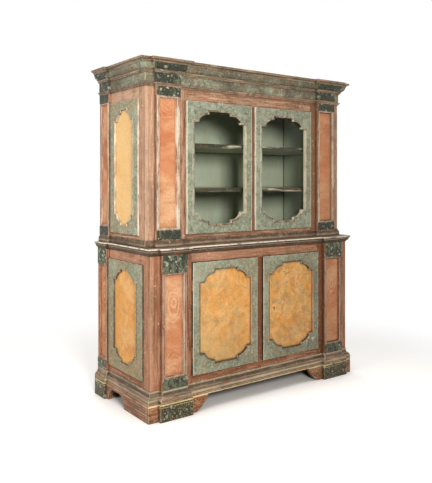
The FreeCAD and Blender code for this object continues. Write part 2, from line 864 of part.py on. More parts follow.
def hinge_rod(name, stage, hand, radius, low, high):
    x, y = hinge_axis(stage)
    return rod(name, radius, "%s - (%s)" % (high, low), "%d * %s" % (hand, x), y, low)


def frame_leaf(name, stage, hand, low):
    axis_x, axis_y = hinge_axis(stage)
    middle = low + " + hinge_height / 2"
    pieces = [
        mirrored_box(name + "_leaf", hand, ("opening_half_width", stage.face, low),
                     ("opening_half_width + leaf_thickness", stage.face + " + leaf_reach",
                      low + " + hinge_height")),
        mirrored_box(name + "_lug", hand, (axis_x + " - lug_half", axis_y + " - lug_half", low),
                     (axis_x + " + lug_half", stage.face, middle)),
        hinge_rod(name + "_pin", stage, hand, "pin_radius", low, low + " + hinge_height"),
    ]
    return fuse(name, pieces)


def door_leaf(name, stage, hand, low):
    near = stage.door_outer + " - leaf_thickness"
    front = "(%s - leaf_thickness / 2)" % stage.face
    axis_y = hinge_axis(stage)[1]
    start = low + " + hinge_height / 2 + hinge_clearance"
    top = low + " + hinge_height"
    pieces = [
        mirrored_box(name + "_leaf", hand, (near, front, low),
                     (stage.door_outer, stage.face + " + leaf_reach", top)),
        mirrored_box(name + "_tongue", hand, (near, axis_y, start),
                     (stage.door_outer, front, top)),
        hinge_rod(name + "_eye", stage, hand, "eye_radius", start, top),
    ]
    bore = hinge_rod(name + "_bore", stage, hand, "pin_radius + pin_play", low, top)
    return cut(name, fuse(name + "_blank", pieces), [bore])


def make_hinges(stage, hand):
    side = hand_name(hand)
    for kind, make_leaf in (("frame", frame_leaf), ("door", door_leaf)):
        leaves = [
            make_leaf("%s_%s_%s_leaf_%d" % (stage.name, side, kind, number), stage, hand, low)
            for number, low in enumerate(stage.hinge_lows)
        ]
        keep(group("%s_%s_%s_leaves" % (stage.name, side, kind), leaves),
             "%s_hinge_%s_leaves_%s" % (stage.name, kind, side))


# Lock: a case on the back of the lower right door and the bolt that slides in it
LOCK_FRONT = LOWER.door_back
LOCK_NEAR = "(%s + bolt_play)" % LOWER.door_inner
LOCK_LOW = "(lock_centre_height - lock_height / 2)"
BOLT_FRONT = "(%s + (lock_thickness - bolt_thickness) / 2)" % LOCK_FRONT
BOLT_LOW = "(lock_centre_height + keyhole_length / 2)"


def make_lock():
    far = LOCK_NEAR + " + lock_width"
    case = box("lock_case_blank", (LOCK_NEAR, LOCK_FRONT, LOCK_LOW),
               (far, LOCK_FRONT + " + lock_thickness", LOCK_LOW + " + lock_height"))
    hollow = box(
        "lock_case_hollow",
        (LOCK_NEAR + " + lock_wall", LOCK_FRONT + " + lock_wall", LOCK_LOW + " + lock_wall"),
        (far + " - lock_wall", LOCK_FRONT + " + lock_thickness - lock_wall",
         LOCK_LOW + " + lock_height - lock_wall"),
    )
    slot = box(
        "lock_case_slot",
        (LOCK_NEAR + " - overrun", BOLT_FRONT + " - bolt_play", BOLT_LOW + " - bolt_play"),
        (LOCK_NEAR + " + overrun", BOLT_FRONT + " + bolt_thickness + bolt_play",
         BOLT_LOW + " + bolt_height + bolt_play"),
    )
    key_way = keyhole("lock_case", LOCK_FRONT)
    keep(cut("lock_case_cut", case, [hollow, slot, key_way]), "lock_case")
    bolt = box("lock_bolt_box", (LOCK_NEAR, BOLT_FRONT, BOLT_LOW),
               (LOCK_NEAR + " + bolt_length", BOLT_FRONT + " + bolt_thickness",
                BOLT_LOW + " + bolt_height"))
    keep(bolt, "lock_bolt")


make_plinth()
for stage in (LOWER, UPPER):
    make_face_frame(stage)
make_carcass(LOWER, "(%s + stop_lip)" % LOWER_OPENING[0], None)
make_carcass(UPPER, "(%s + stop_lip)" % UPPER_OPENING[0], "(%s - floor_board)" % ARCHITRAVE_LOW)
make_dust_board()
make_shelf(LOWER, "lower_shelf", "lower_shelf_height")
make_shelf(UPPER, "upper_shelf_low", "low_shelf_height")
make_shelf(UPPER, "upper_shelf_high", "high_shelf_height")
make_mouldings()
for stage in (LOWER, UPPER):
    for hand in (-1, 1):
        make_side_frame(stage, hand)
        make_front_pilaster(stage, hand)
        make_rear_pilaster(stage, hand)
        make_door(stage, hand)
        make_hinges(stage, hand)
make_lock()

doc.recompute()

for item in doc.Objects:
    if "Invalid" in item.State or "Error" in item.State:
        raise RuntimeError("%s did not build: %s" % (item.Label, item.State))

for item in subparts:
    shape = item.Shape
    if shape.isNull() or not shape.isValid() or not shape.Solids:
        raise RuntimeError("%s has no valid solid" % item.Label)

for item in subparts:
    item.Shape.exportStep("parts/%s.step" % item.Label)

print("sub-parts:", len(subparts))
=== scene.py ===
import math

import bpy
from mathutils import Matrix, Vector


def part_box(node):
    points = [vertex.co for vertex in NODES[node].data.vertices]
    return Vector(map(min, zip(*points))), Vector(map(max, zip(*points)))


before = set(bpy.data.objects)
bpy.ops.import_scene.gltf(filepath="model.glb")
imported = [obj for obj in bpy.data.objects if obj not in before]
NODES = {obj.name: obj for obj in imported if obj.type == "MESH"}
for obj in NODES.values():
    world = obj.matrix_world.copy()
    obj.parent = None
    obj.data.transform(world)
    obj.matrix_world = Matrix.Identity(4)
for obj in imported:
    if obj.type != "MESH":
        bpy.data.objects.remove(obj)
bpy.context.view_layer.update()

bl_info = {
    "name": "Painted two-stage cabinet",
    "version": (1, 0, 0),
    "blender": (4, 5, 0),
    "location": "3D View > Sidebar > Cabinet",
    "description": "Marbled paint, rubbed gesso edges and studio of a two-stage cabinet",
    "category": "Object",
}

STAGES = ("lower", "upper")
SIDES = ("left", "right")

# The keyhole: in from the inner edge of the lower right door, and level with the lock behind
# it. Its head, its stem and the rubbed patch round it reach so far left, right, down and up.
# The keyhole's head and stem are painted dark, as the shade in a hole
KEYHOLE_DISTANCE = 0.106
KEYHOLE_HEAD = (0.0055, 0.0055, 0.0065, 0.0075)
KEYHOLE_STEM = (0.0035, 0.0035, 0.018, 0.0)
KEYHOLE_RUBS = (0.012, 0.016, 0.030, 0.022)

# Level bands of mouldings and plinth: two heights above the foot of their piece. Pale bands on the
# mouldings' rounds are rubs and painted highlight, dark bands in their hollows painted shade
BASE_UPPER_ROUND = (0.058, 0.065)
BASE_HOLLOW = (0.038, 0.052)
BASE_LOWER_ROUND = (0.010, 0.022)
BASE_FOOT = (-0.004, 0.010)
LIP_ROUND = (0.007, 0.026)
UPPER_BASE_ROUND = (0.004, 0.018)
UPPER_BASE_HOLLOW = (0.024, 0.038)
BLOCK_FINE_LINE = (0.086, 0.090)
BLOCK_BROAD_LINE = (0.099, 0.108)
SKIRT_FRONT_LINE = (0.095, 0.106)
SKIRT_SIDE_LINES = ((0.092, 0.097), (0.044, 0.048))

# Upright strips: widths of the doors' edge lines and of the face frames' rubbed arris, and
# from how near to how far the dark band lies in the inner corners
LEFT_LINE = 0.008
RIGHT_LINE = 0.004
RUBBED_ARRIS = 0.018
CORNER_DARK_BAND = (0.0005, 0.006)

# Parts of a door as shares of its width or height: where feet knock it (left, right, foot and
# top), from where its bead is paler as rubs and painted light, and the ends in which the bead is
# curved
KICKED = (0.64, 0.93, 0.09, 0.33)
KICKED_MOST = (0.70, 0.83, 0.12, 0.25)
LIT_AND_RUBBED_BEAD = 0.72
BEAD_ARCS = ((0.0, 0.12), (0.83, 1.0))

# Painted shade of the light falling off to the right and down grows evenly over every piece from
# the first of these points to the second
FALLOFF_SHADE_STARTS = (-0.6, 0, 1.5)
FALLOFF_SHADE_IS_FULL = (0.9, 0, 0.9)

# How to tell a face by its middle: on a plane within a hair; behind the pilasters' blocks; in
# their sunk panels; on a moulding's break, which is a little wider than its pilaster; in the
# cove, by shares of the cornice's height
HAIR = 0.001
BEHIND_BLOCKS = 0.0035
IN_PANEL = 0.008
BREAK_MARGIN = 0.004
COVE = (0.21, 0.67)

# How to tell a face of the waist's top by how much it looks up: flat above this, and below
# the second value under the round
LOOKS_UP = 0.97
LOOKS_DOWN = -0.2

# Share of clean glass's sheen that is left on the old panes
PANE_SHEEN = 0.03


def linear(hex_colour):
    """An sRGB hex colour as the linear RGBA that Blender's sockets take."""
    channels = [int(hex_colour[i:i + 2], 16) / 255 for i in (1, 3, 5)]
    curve = [c / 12.92 if c <= 0.04045 else ((c + 0.055) / 1.055) ** 2.4 for c in channels]
    return (*curve, 1.0)


# Sizes and colours that a user would change
def colour(name, description, hex_colour):
    """A colour setting whose default is an sRGB hex colour."""
    return bpy.props.FloatVectorProperty(
        name=name, description=description, subtype="COLOR", size=4, min=0, max=1,
        default=linear(hex_colour),
    )


def length(name, description, metres):
    """A length setting with its default in metres."""
    return bpy.props.FloatProperty(
        name=name, description=description, default=metres, min=0, unit="LENGTH",
    )


class PaintColours(bpy.types.PropertyGroup):
    """The painter's colours, as they look on the cabinet"""

    sage: colour("Sage", "Ground of the green marbling on doors and side frames", "#949980")
    sage_light: colour("Sage clouds", "Pale clouds and veins in the green marbling", "#bcbfa5")
    sage_dark: colour("Sage shadow", "Dark clouds in the green marbling", "#73785f")
    rust: colour("Rust", "Ground of the red-brown frames of the lower stage", "#a26645")
    rust_light: colour("Rust light", "Rubbed streaks in the lower frames", "#cf9a78")
    rust_dark: colour("Rust dark", "Dark streaks in the lower frames", "#7a492b")
    rose: colour("Rose", "Ground of the red-brown frames of the upper stage", "#ad7f5f")
    rose_light: colour("Rose light", "Rubbed streaks in the upper frames", "#deb494")
    rose_dark: colour("Rose dark", "Dark streaks in the upper frames", "#8c5f40")
    siena: colour("Siena", "Ground of the yellow panels", "#f7ae58")
    siena_light: colour("Siena light", "Pale clouds in the yellow panels", "#ffc57e")
    siena_dark: colour("Siena brown", "Brown clouds in the yellow panels", "#c98d4e")
    agate: colour("Agate", "Ground of the pilaster panels", "#dc9466")
    agate_light: colour("Agate light", "Pale clouds and arcs of the pilaster panels", "#f4c596")
    agate_dark: colour("Agate red", "Red clouds of the pilaster panels", "#c9764a")
    verde: colour("Verde antico", "Dark ground of the green marble blocks", "#343a2f")
    verde_stone: colour("Verde stones", "Mid green stones in the blocks", "#6f765f")
    verde_fleck: colour("Verde flecks", "Pale flecks in the blocks", "#b4b397")
    gesso: colour("Gesso", "White ground that shows where paint is rubbed off", "#f2e4cc")
    # Grime is also the colour of painted shade: in corners and hollows, under the waist, in the
    # keyhole and towards the right and down
    dirt_and_shade: colour("Grime", "Wax and dust in the corners", "#35261a")
    umber: colour("Umber", "Ground of the aged mouldings", "#87715a")
    umber_light: colour("Umber light", "Rubbed streaks of the mouldings", "#b8a48c")
    umber_dark: colour("Umber dark", "Dark streaks of the mouldings", "#5a4632")
    glaze: colour("Brown glaze", "Smudges of old glaze on the green marbling", "#a88656")
    ochre: colour("Ochre", "Flecks on the plinth, clouds in the yellow", "#c4b07c")
    cream: colour("Cream", "Rubbed beads, reveals and rounds", "#d8caa6")
    straw: colour("Straw", "Painted lines of the plinth, pale Siena at the sides", "#ffe0a0")
    limewash: colour("Limewash", "Grey-green inside the upper stage", "#c2c8b4")
    poplar: colour("Poplar", "Bare wood of backs, floors and shelves", "#80654a")


class WearSizes(bpy.types.PropertyGroup):
    """Sizes of wear, brush and marbling"""

    edge: length("Rubbed edge", "How far from an arris the paint is rubbed", 0.006)
    # The grimy corner's reach also sets how far the painted shade reaches out of a corner
    corner: length("Grimy corner", "How far grime reaches out of a corner", 0.018)
    streak: length("Brush streak", "Width of a streak of the dragging brush", 0.011)
    cloud: length("Cloud", "Size of a cloud in the marbling", 0.075)


class StudioSizes(bpy.types.PropertyGroup):
    """Sizes of the studio"""

    eye_height: length("Eye height", "Height of the camera above the floor", 1.440)
    floor_size: length("Floor size", "Width of the studio floor", 60.0)


def group(name):
    """The settings called paint, wear or studio."""
    return getattr(bpy.context.scene, name)


def add(tree, kind, inputs=None, **settings):
    """Adds a node with its settings, and sets or links each input named by key or number."""
    node = tree.nodes.new(kind)
    for name, value in settings.items():
        setattr(node, name, value)
    for name, value in (inputs or {}).items():
        if isinstance(value, bpy.types.NodeSocket):
            tree.links.new(value, node.inputs[name])
        else:
            node.inputs[name].default_value = value
    return node


def blank(name):
    """A new material, and its node tree with nothing in it."""
    material = bpy.data.materials.new(name)
    material.use_nodes = True
    material.node_tree.nodes.clear()
    return material, material.node_tree


# The painter's steps: each lays one thing over the colour below it and returns the result.
# Sizes are real lengths in metres on the cabinet's own coordinates. A noise lies between
# about 0.3 and 0.7: the lower its start and full are, the more of the ground it covers.
def dabbed(tree, ground, tint, size, start, full, strength=1.0, stretch=(1, 1, 1), seed=0.0,
           bend=0.0):
    """Clouds of a tint, dabbed on where the noise rises from start to full."""
    coords = add(tree, "ShaderNodeTexCoord")
    moved = add(tree, "ShaderNodeMapping", {
        "Vector": coords.outputs["Object"], "Scale": stretch,
        "Location": (seed, 0.37 * seed, -seed),
    })
    cloud = add(tree, "ShaderNodeTexNoise", {
        "Vector": moved.outputs[0], "Scale": 1 / size, "Detail": 5.0, "Roughness": 0.6,
        "Distortion": bend,
    })
    cover = add(tree, "ShaderNodeMapRange", {
        "Value": cloud.outputs[0], "From Min": start, "From Max": full, "To Max": strength,
    }, interpolation_type="SMOOTHSTEP")
    laid = add(tree, "ShaderNodeMix", {0: cover.outputs[0], 6: ground, 7: tint},
               data_type="RGBA")
    return laid.outputs[2]


def dragged(tree, ground, tint, width, start, full, strength, axis, seed=0.0):
    """Streaks of a tint, dragged with a dry brush along x, y or z, long and thin."""
    stretch = tuple(0.07 if name == axis else 1.0 for name in "xyz")
    return dabbed(tree, ground, tint, size=width, start=start, full=full, strength=strength,
                  stretch=stretch, seed=seed)


def veined(tree, ground, tint, size, thickness, strength, seed, bend):
    """Veins of a tint, drawn with a feather along a level line of the noise."""
    coords = add(tree, "ShaderNodeTexCoord")
    moved = add(tree, "ShaderNodeMapping", {
        "Vector": coords.outputs["Object"], "Location": (seed, -seed, 0.6 * seed),
    })
    field = add(tree, "ShaderNodeTexNoise", {
        "Vector": moved.outputs[0], "Scale": 1 / size, "Detail": 6.0, "Roughness": 0.62,
        "Distortion": bend,
    })
    offset = add(tree, "ShaderNodeMath", {0: field.outputs[0], 1: 0.5}, operation="SUBTRACT")
    ridge = add(tree, "ShaderNodeMath", {0: offset.outputs[0]}, operation="ABSOLUTE")
    line = add(tree, "ShaderNodeMapRange", {
        "Value": ridge.outputs[0], "From Min": thickness, "From Max": 0.0,
        "To Max": strength,
    }, interpolation_type="SMOOTHSTEP")
    laid = add(tree, "ShaderNodeMix", {0: line.outputs[0], 6: ground, 7: tint},
               data_type="RGBA")
    return laid.outputs[2]


def stoned(tree, ground, tint, size, share, seed):
    """Angular stones of a tint, as in a breccia, over a share of the ground."""
    coords = add(tree, "ShaderNodeTexCoord")
    moved = add(tree, "ShaderNodeMapping", {
        "Vector": coords.outputs["Object"], "Location": (seed, seed, seed),
    })
    jog = add(tree, "ShaderNodeTexNoise", {
        "Vector": moved.outputs[0], "Scale": 1 / size, "Detail": 3.0,
    })
    bent = add(tree, "ShaderNodeVectorMath", {
        0: jog.outputs[1], 1: (size, size, size), 2: moved.outputs[0],
    }, operation="MULTIPLY_ADD")
    cells = add(tree, "ShaderNodeTexVoronoi", {"Vector": bent.outputs[0], "Scale": 1 / size})
    pick = add(tree, "ShaderNodeSeparateColor", {0: cells.outputs["Color"]})
    chosen = add(tree, "ShaderNodeMapRange", {
        "Value": pick.outputs[0], "From Min": share + 0.03, "From Max": share - 0.03,
    })
    laid = add(tree, "ShaderNodeMix", {0: chosen.outputs[0], 6: ground, 7: tint},
               data_type="RGBA")
    return laid.outputs[2]


def ringed(tree, ground, tint, centre, spacing, reach, strength):
    """An agate eye: wandering upright rings of a tint at a spacing, which fade at a reach."""
    coords = add(tree, "ShaderNodeTexCoord")
    offset = add(tree, "ShaderNodeVectorMath", {0: coords.outputs["Object"], 1: centre},
                 operation="SUBTRACT")
    squeezed = add(tree, "ShaderNodeVectorMath", {0: offset.outputs[0], 1: (1, 1, 0.5)},
                   operation="MULTIPLY")
    span = add(tree, "ShaderNodeVectorMath", {0: squeezed.outputs[0]}, operation="LENGTH")
    jog = add(tree, "ShaderNodeTexNoise", {
        "Vector": coords.outputs["Object"], "Scale": 1 / 0.060, "Detail": 2.0,
    })
    wander = add(tree, "ShaderNodeMath", {
        0: jog.outputs[0], 1: 0.030, 2: span.outputs["Value"],
    }, operation="MULTIPLY_ADD")
    turns = add(tree, "ShaderNodeMath", {0: wander.outputs[0], 1: 2 * math.pi / spacing},
                operation="MULTIPLY")
    wave = add(tree, "ShaderNodeMath", {0: turns.outputs[0]}, operation="SINE")
    line = add(tree, "ShaderNodeMapRange", {
        "Value": wave.outputs[0], "From Min": 0.2, "From Max": 0.95, "To Max": strength,
    }, interpolation_type="SMOOTHSTEP")
    near = add(tree, "ShaderNodeMapRange", {
        "Value": span.outputs["Value"], "From Min": reach, "From Max": 0.6 * reach,
    }, interpolation_type="SMOOTHSTEP")
    share = add(tree, "ShaderNodeMath", {0: line.outputs[0], 1: near.outputs[0]},
                operation="MULTIPLY")
    laid = add(tree, "ShaderNodeMix", {0: share.outputs[0], 6: ground, 7: tint},
               data_type="RGBA")
    return laid.outputs[2]


def inlaid(tree, ground, inner, low, high, strength=1.0):
    """The inner colour in an upright box between two corners in metres; None leaves it open."""
    coords = add(tree, "ShaderNodeTexCoord")
    axes = add(tree, "ShaderNodeSeparateXYZ", {0: coords.outputs["Object"]})
    inside = None
    for axis in range(3):
        if low[axis] is None:
            continue
        middle = (low[axis] + high[axis]) / 2
        half = (high[axis] - low[axis]) / 2
        near = add(tree, "ShaderNodeMath", {
            0: axes.outputs[axis], 1: middle, 2: half,
        }, operation="COMPARE")
        if inside is None:
            inside = near
        else:
            inside = add(tree, "ShaderNodeMath", {0: inside.outputs[0], 1: near.outputs[0]},
                         operation="MULTIPLY")
    share = add(tree, "ShaderNodeMath", {0: inside.outputs[0], 1: strength},
                operation="MULTIPLY")
    laid = add(tree, "ShaderNodeMix", {0: share.outputs[0], 6: ground, 7: inner},
               data_type="RGBA")
    return laid.outputs[2]


def striped(tree, ground, inner, axis, low, high, strength=1.0):
    """The inner colour between two places on the x, y or z axis, in metres."""
    start = tuple(low if name == axis else None for name in "xyz")
    end = tuple(high if name == axis else None for name in "xyz")
    return inlaid(tree, ground, inner, start, end, strength=strength)


def banded(tree, ground, inner, piece, heights, strength=1.0):
    """The inner colour in a level band, between two heights above the foot of a CAD piece."""
    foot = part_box(piece)[0].z
    return striped(tree, ground, inner, "z", foot + heights[0], foot + heights[1],
                   strength=strength)


def graded(tree, ground, tint, start, full, strength):
    """A tint that comes in evenly from one point in metres to another."""
    begin, run = Vector(start), Vector(full) - Vector(start)
    coords = add(tree, "ShaderNodeTexCoord")
    offset = add(tree, "ShaderNodeVectorMath", {0: coords.outputs["Object"], 1: begin},
                 operation="SUBTRACT")
    along = add(tree, "ShaderNodeVectorMath", {
        0: offset.outputs[0], 1: run / run.length_squared,
    }, operation="DOT_PRODUCT")
    share = add(tree, "ShaderNodeMapRange", {
        "Value": along.outputs["Value"], "To Max": strength,
    })
    laid = add(tree, "ShaderNodeMix", {0: share.outputs[0], 6: ground, 7: tint},
               data_type="RGBA")
    return laid.outputs[2]


# The grounds: how each paint on the cabinet is built up
def sage_ground(tree, smudged=0.5, seed=0.0, dulled=0.0):
    """Green marble: a sponged ground, brown glaze smudges, pale clouds and feathered veins."""
    paint, wear = group("paint"), group("wear")
    coat = dabbed(tree, paint.sage, paint.sage_dark, size=0.026, start=0.48, full=0.59,
                  strength=0.75, seed=seed + 3)
    coat = dabbed(tree, coat, paint.sage_light, size=wear.cloud, start=0.46, full=0.62,
                  strength=0.7, seed=seed + 1, bend=0.6)
    coat = dabbed(tree, coat, paint.glaze, size=0.095, start=0.62 - 0.30 * smudged,
                  full=0.76 - 0.26 * smudged, strength=0.35 + 0.35 * smudged, seed=seed + 5)
    coat = dabbed(tree, coat, paint.sage_light, size=0.014, start=0.53, full=0.61, strength=0.85,
                  seed=seed + 8)
    coat = dabbed(tree, coat, paint.sage_dark, size=0.200, start=0.30, full=0.60, strength=dulled,
                  seed=seed + 9)
    coat = veined(tree, coat, paint.sage_dark, size=0.080, thickness=0.014, strength=0.6,
                  seed=seed + 4, bend=1.6)
    return veined(tree, coat, paint.sage_light, size=0.060, thickness=0.018, strength=0.75,
                  seed=seed + 7, bend=1.6)


def frieze_ground(tree):
    """The same marble on frieze and cove, browned by wax and smoke."""
    coat = sage_ground(tree, smudged=0.5, seed=11.0)
    return dabbed(tree, coat, group("paint").umber_dark, size=0.130, start=0.34, full=0.58,
                  strength=0.66, seed=2.0)


def red_ground(tree, stage, axis):
    """Red-brown paint dragged along the board and rubbed back to a paler coat."""
    paint, wear = group("paint"), group("wear")
    body, light, dark = (
        (paint.rust, paint.rust_light, paint.rust_dark) if stage == "lower"
        else (paint.rose, paint.rose_light, paint.rose_dark)
    )
    coat = dragged(tree, body, light, width=0.060, start=0.49, full=0.62, strength=0.7, axis=axis,
                   seed=2.0)
    coat = dragged(tree, coat, dark, width=0.045, start=0.49, full=0.62, strength=0.75, axis=axis,
                   seed=4.0)
    coat = dabbed(tree, coat, dark, size=0.012, start=0.53, full=0.62, strength=0.5, seed=5.0)
    coat = dragged(tree, coat, dark, width=wear.streak, start=0.50, full=0.58, strength=0.75,
                   axis=axis, seed=6.0)
    return dragged(tree, coat, light, width=wear.streak, start=0.53, full=0.60, strength=0.75,
                   axis=axis, seed=8.0)


def siena_ground(tree, seed, veins, olive):
    """Yellow Siena marble: warm, olive and reddish clouds, and fine brown veins."""
    paint = group("paint")
    coat = dabbed(tree, paint.siena, paint.siena_light, size=0.120, start=0.44, full=0.60,
                  strength=0.8, seed=seed + 2, bend=0.8)
    coat = dabbed(tree, coat, paint.siena_dark, size=0.070, start=0.50, full=0.64, strength=veins,
                  seed=seed + 4, bend=1.0)
    coat = dabbed(tree, coat, paint.ochre, size=0.100, start=0.46, full=0.62, strength=olive,
                  seed=seed + 12, bend=0.8)
    coat = dabbed(tree, coat, paint.agate_dark, size=0.140, start=0.52, full=0.70, strength=0.4,
                  seed=seed + 7, bend=0.5)
    coat = dabbed(tree, coat, paint.siena_dark, size=0.016, start=0.54, full=0.66,
                  strength=veins * 0.6, seed=seed + 6)
    coat = veined(tree, coat, paint.umber, size=0.055, thickness=0.014, strength=veins, seed=seed,
                  bend=1.2)
    coat = veined(tree, coat, paint.umber, size=0.150, thickness=0.008, strength=veins,
                  seed=seed + 3, bend=2.2)
    return veined(tree, coat, paint.siena_light, size=0.045, thickness=0.014, strength=0.5,
                  seed=seed + 9, bend=2.0)


def agate_ground(tree, low, high, eyed, browned):
    """Salmon agate: pale and orange clouds lying across, arcs at both ends, at times an eye."""
    paint = group("paint")
    middle, rise = (low + high) / 2, high.z - low.z
    seed = low.x + low.z
    coat = dabbed(tree, paint.agate, paint.agate_light, size=0.130, start=0.42, full=0.64,
                  strength=0.75, stretch=(0.5, 0.5, 1.0), seed=seed + 1)
    coat = dabbed(tree, coat, paint.agate_dark, size=0.110, start=0.46, full=0.64, strength=0.75,
                  stretch=(0.5, 0.5, 1.0), seed=seed + 5)
    for share, spacing, reach, strength in (
            (0.12, 0.013, 0.140, 0.35), (0.84, 0.015, 0.120, 0.35), (0.64, 0.023, 0.070, eyed)):
        eye = Vector((middle.x, middle.y, low.z + share * rise))
        coat = ringed(tree, coat, paint.agate_light, centre=eye, spacing=spacing, reach=reach,
                      strength=strength)
    coat = dabbed(tree, coat, paint.agate_dark, size=0.010, start=0.54, full=0.63, strength=0.4,
                  seed=seed + 2)
    coat = dabbed(tree, coat, paint.agate_dark, size=0.120, start=0.20, full=0.50,
                  strength=browned, seed=seed + 9)
    return dabbed(tree, coat, paint.rust, size=0.120, start=0.20, full=0.50,
                  strength=0.6 * browned, seed=seed + 7)


def verde_ground(tree, paleness):
    """Verde antico: almost black green, paler green stones and a few pale flecks."""
    paint = group("paint")
    coat = dabbed(tree, paint.verde, paint.verde_stone, size=0.030, start=0.58 - 0.12 * paleness,
                  full=0.66 - 0.10 * paleness, strength=0.9, stretch=(1, 1, 0.6), seed=1.0,
                  bend=1.0)
    coat = dabbed(tree, coat, paint.umber_dark, size=0.022, start=0.52, full=0.60, strength=0.5,
                  seed=3.0)
    coat = stoned(tree, coat, paint.verde_fleck, size=0.016, share=0.04 + 0.06 * paleness,
                  seed=4.0)
    return dabbed(tree, coat, paint.verde_fleck, size=0.008, start=0.61, full=0.67, strength=0.8,
                  seed=5.0)


def umber_ground(tree, axis):
    """Grey-brown distemper on the mouldings, rubbed along their length."""
    paint = group("paint")
    coat = dragged(tree, paint.umber, paint.umber_light, width=0.040, start=0.52, full=0.64,
                   strength=0.6, axis=axis, seed=1.0)
    coat = dragged(tree, coat, paint.umber_dark, width=0.030, start=0.48, full=0.60, strength=0.8,
                   axis=axis, seed=3.0)
    coat = dragged(tree, coat, paint.rose_light, width=0.014, start=0.54, full=0.62, strength=0.7,
                   axis=axis, seed=5.0)
    coat = dabbed(tree, coat, paint.rust, size=0.060, start=0.51, full=0.64, strength=0.4,
                  seed=6.0)
    coat = dabbed(tree, coat, paint.sage_dark, size=0.080, start=0.51, full=0.64, strength=0.4,
                  seed=9.0)
    return dabbed(tree, coat, paint.gesso, size=0.018, start=0.66, full=0.72, strength=0.5,
                  seed=4.0)


def gesso_ground(tree):
    """Gesso rubbed bare, with paint left in the pores."""
    paint = group("paint")
    coat = dabbed(tree, paint.gesso, paint.umber_light, size=0.035, start=0.46, full=0.58,
                  strength=0.7, stretch=(1, 1, 0.3), seed=1.0)
    return dabbed(tree, coat, paint.umber, size=0.050, start=0.52, full=0.62, strength=0.5,
                  stretch=(1, 1, 0.4), seed=4.0)


def limewash_ground(tree):
    """Grey-green limewash, brushed up and down; a dark band runs along the end corners."""
    paint = group("paint")
    coat = dabbed(tree, paint.limewash, paint.sage_light, size=0.110, start=0.44, full=0.60,
                  strength=0.7, stretch=(1, 1, 0.3), seed=2.0)
    coat = dabbed(tree, coat, paint.sage, size=0.016, start=0.54, full=0.64, strength=0.15,
                  stretch=(1, 1, 0.15), seed=5.0)
    left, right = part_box("upper_side_left")[1].x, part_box("upper_side_right")[0].x
    near, far = CORNER_DARK_BAND
    coat = striped(tree, coat, paint.dirt_and_shade, "x", left + near, left + far, strength=0.8)
    return striped(tree, coat, paint.dirt_and_shade, "x", right - far, right - near, strength=0.8)


def poplar_ground(tree, axis):
    """Old poplar, never painted: brown, with darker grain lines."""
    paint = group("paint")
    coat = dragged(tree, paint.poplar, paint.umber_light, width=0.045, start=0.46, full=0.62,
                   strength=0.5, axis=axis, seed=1.0)
    return dragged(tree, coat, paint.umber_dark, width=0.007, start=0.48, full=0.60, strength=0.7,
                   axis=axis, seed=3.0)
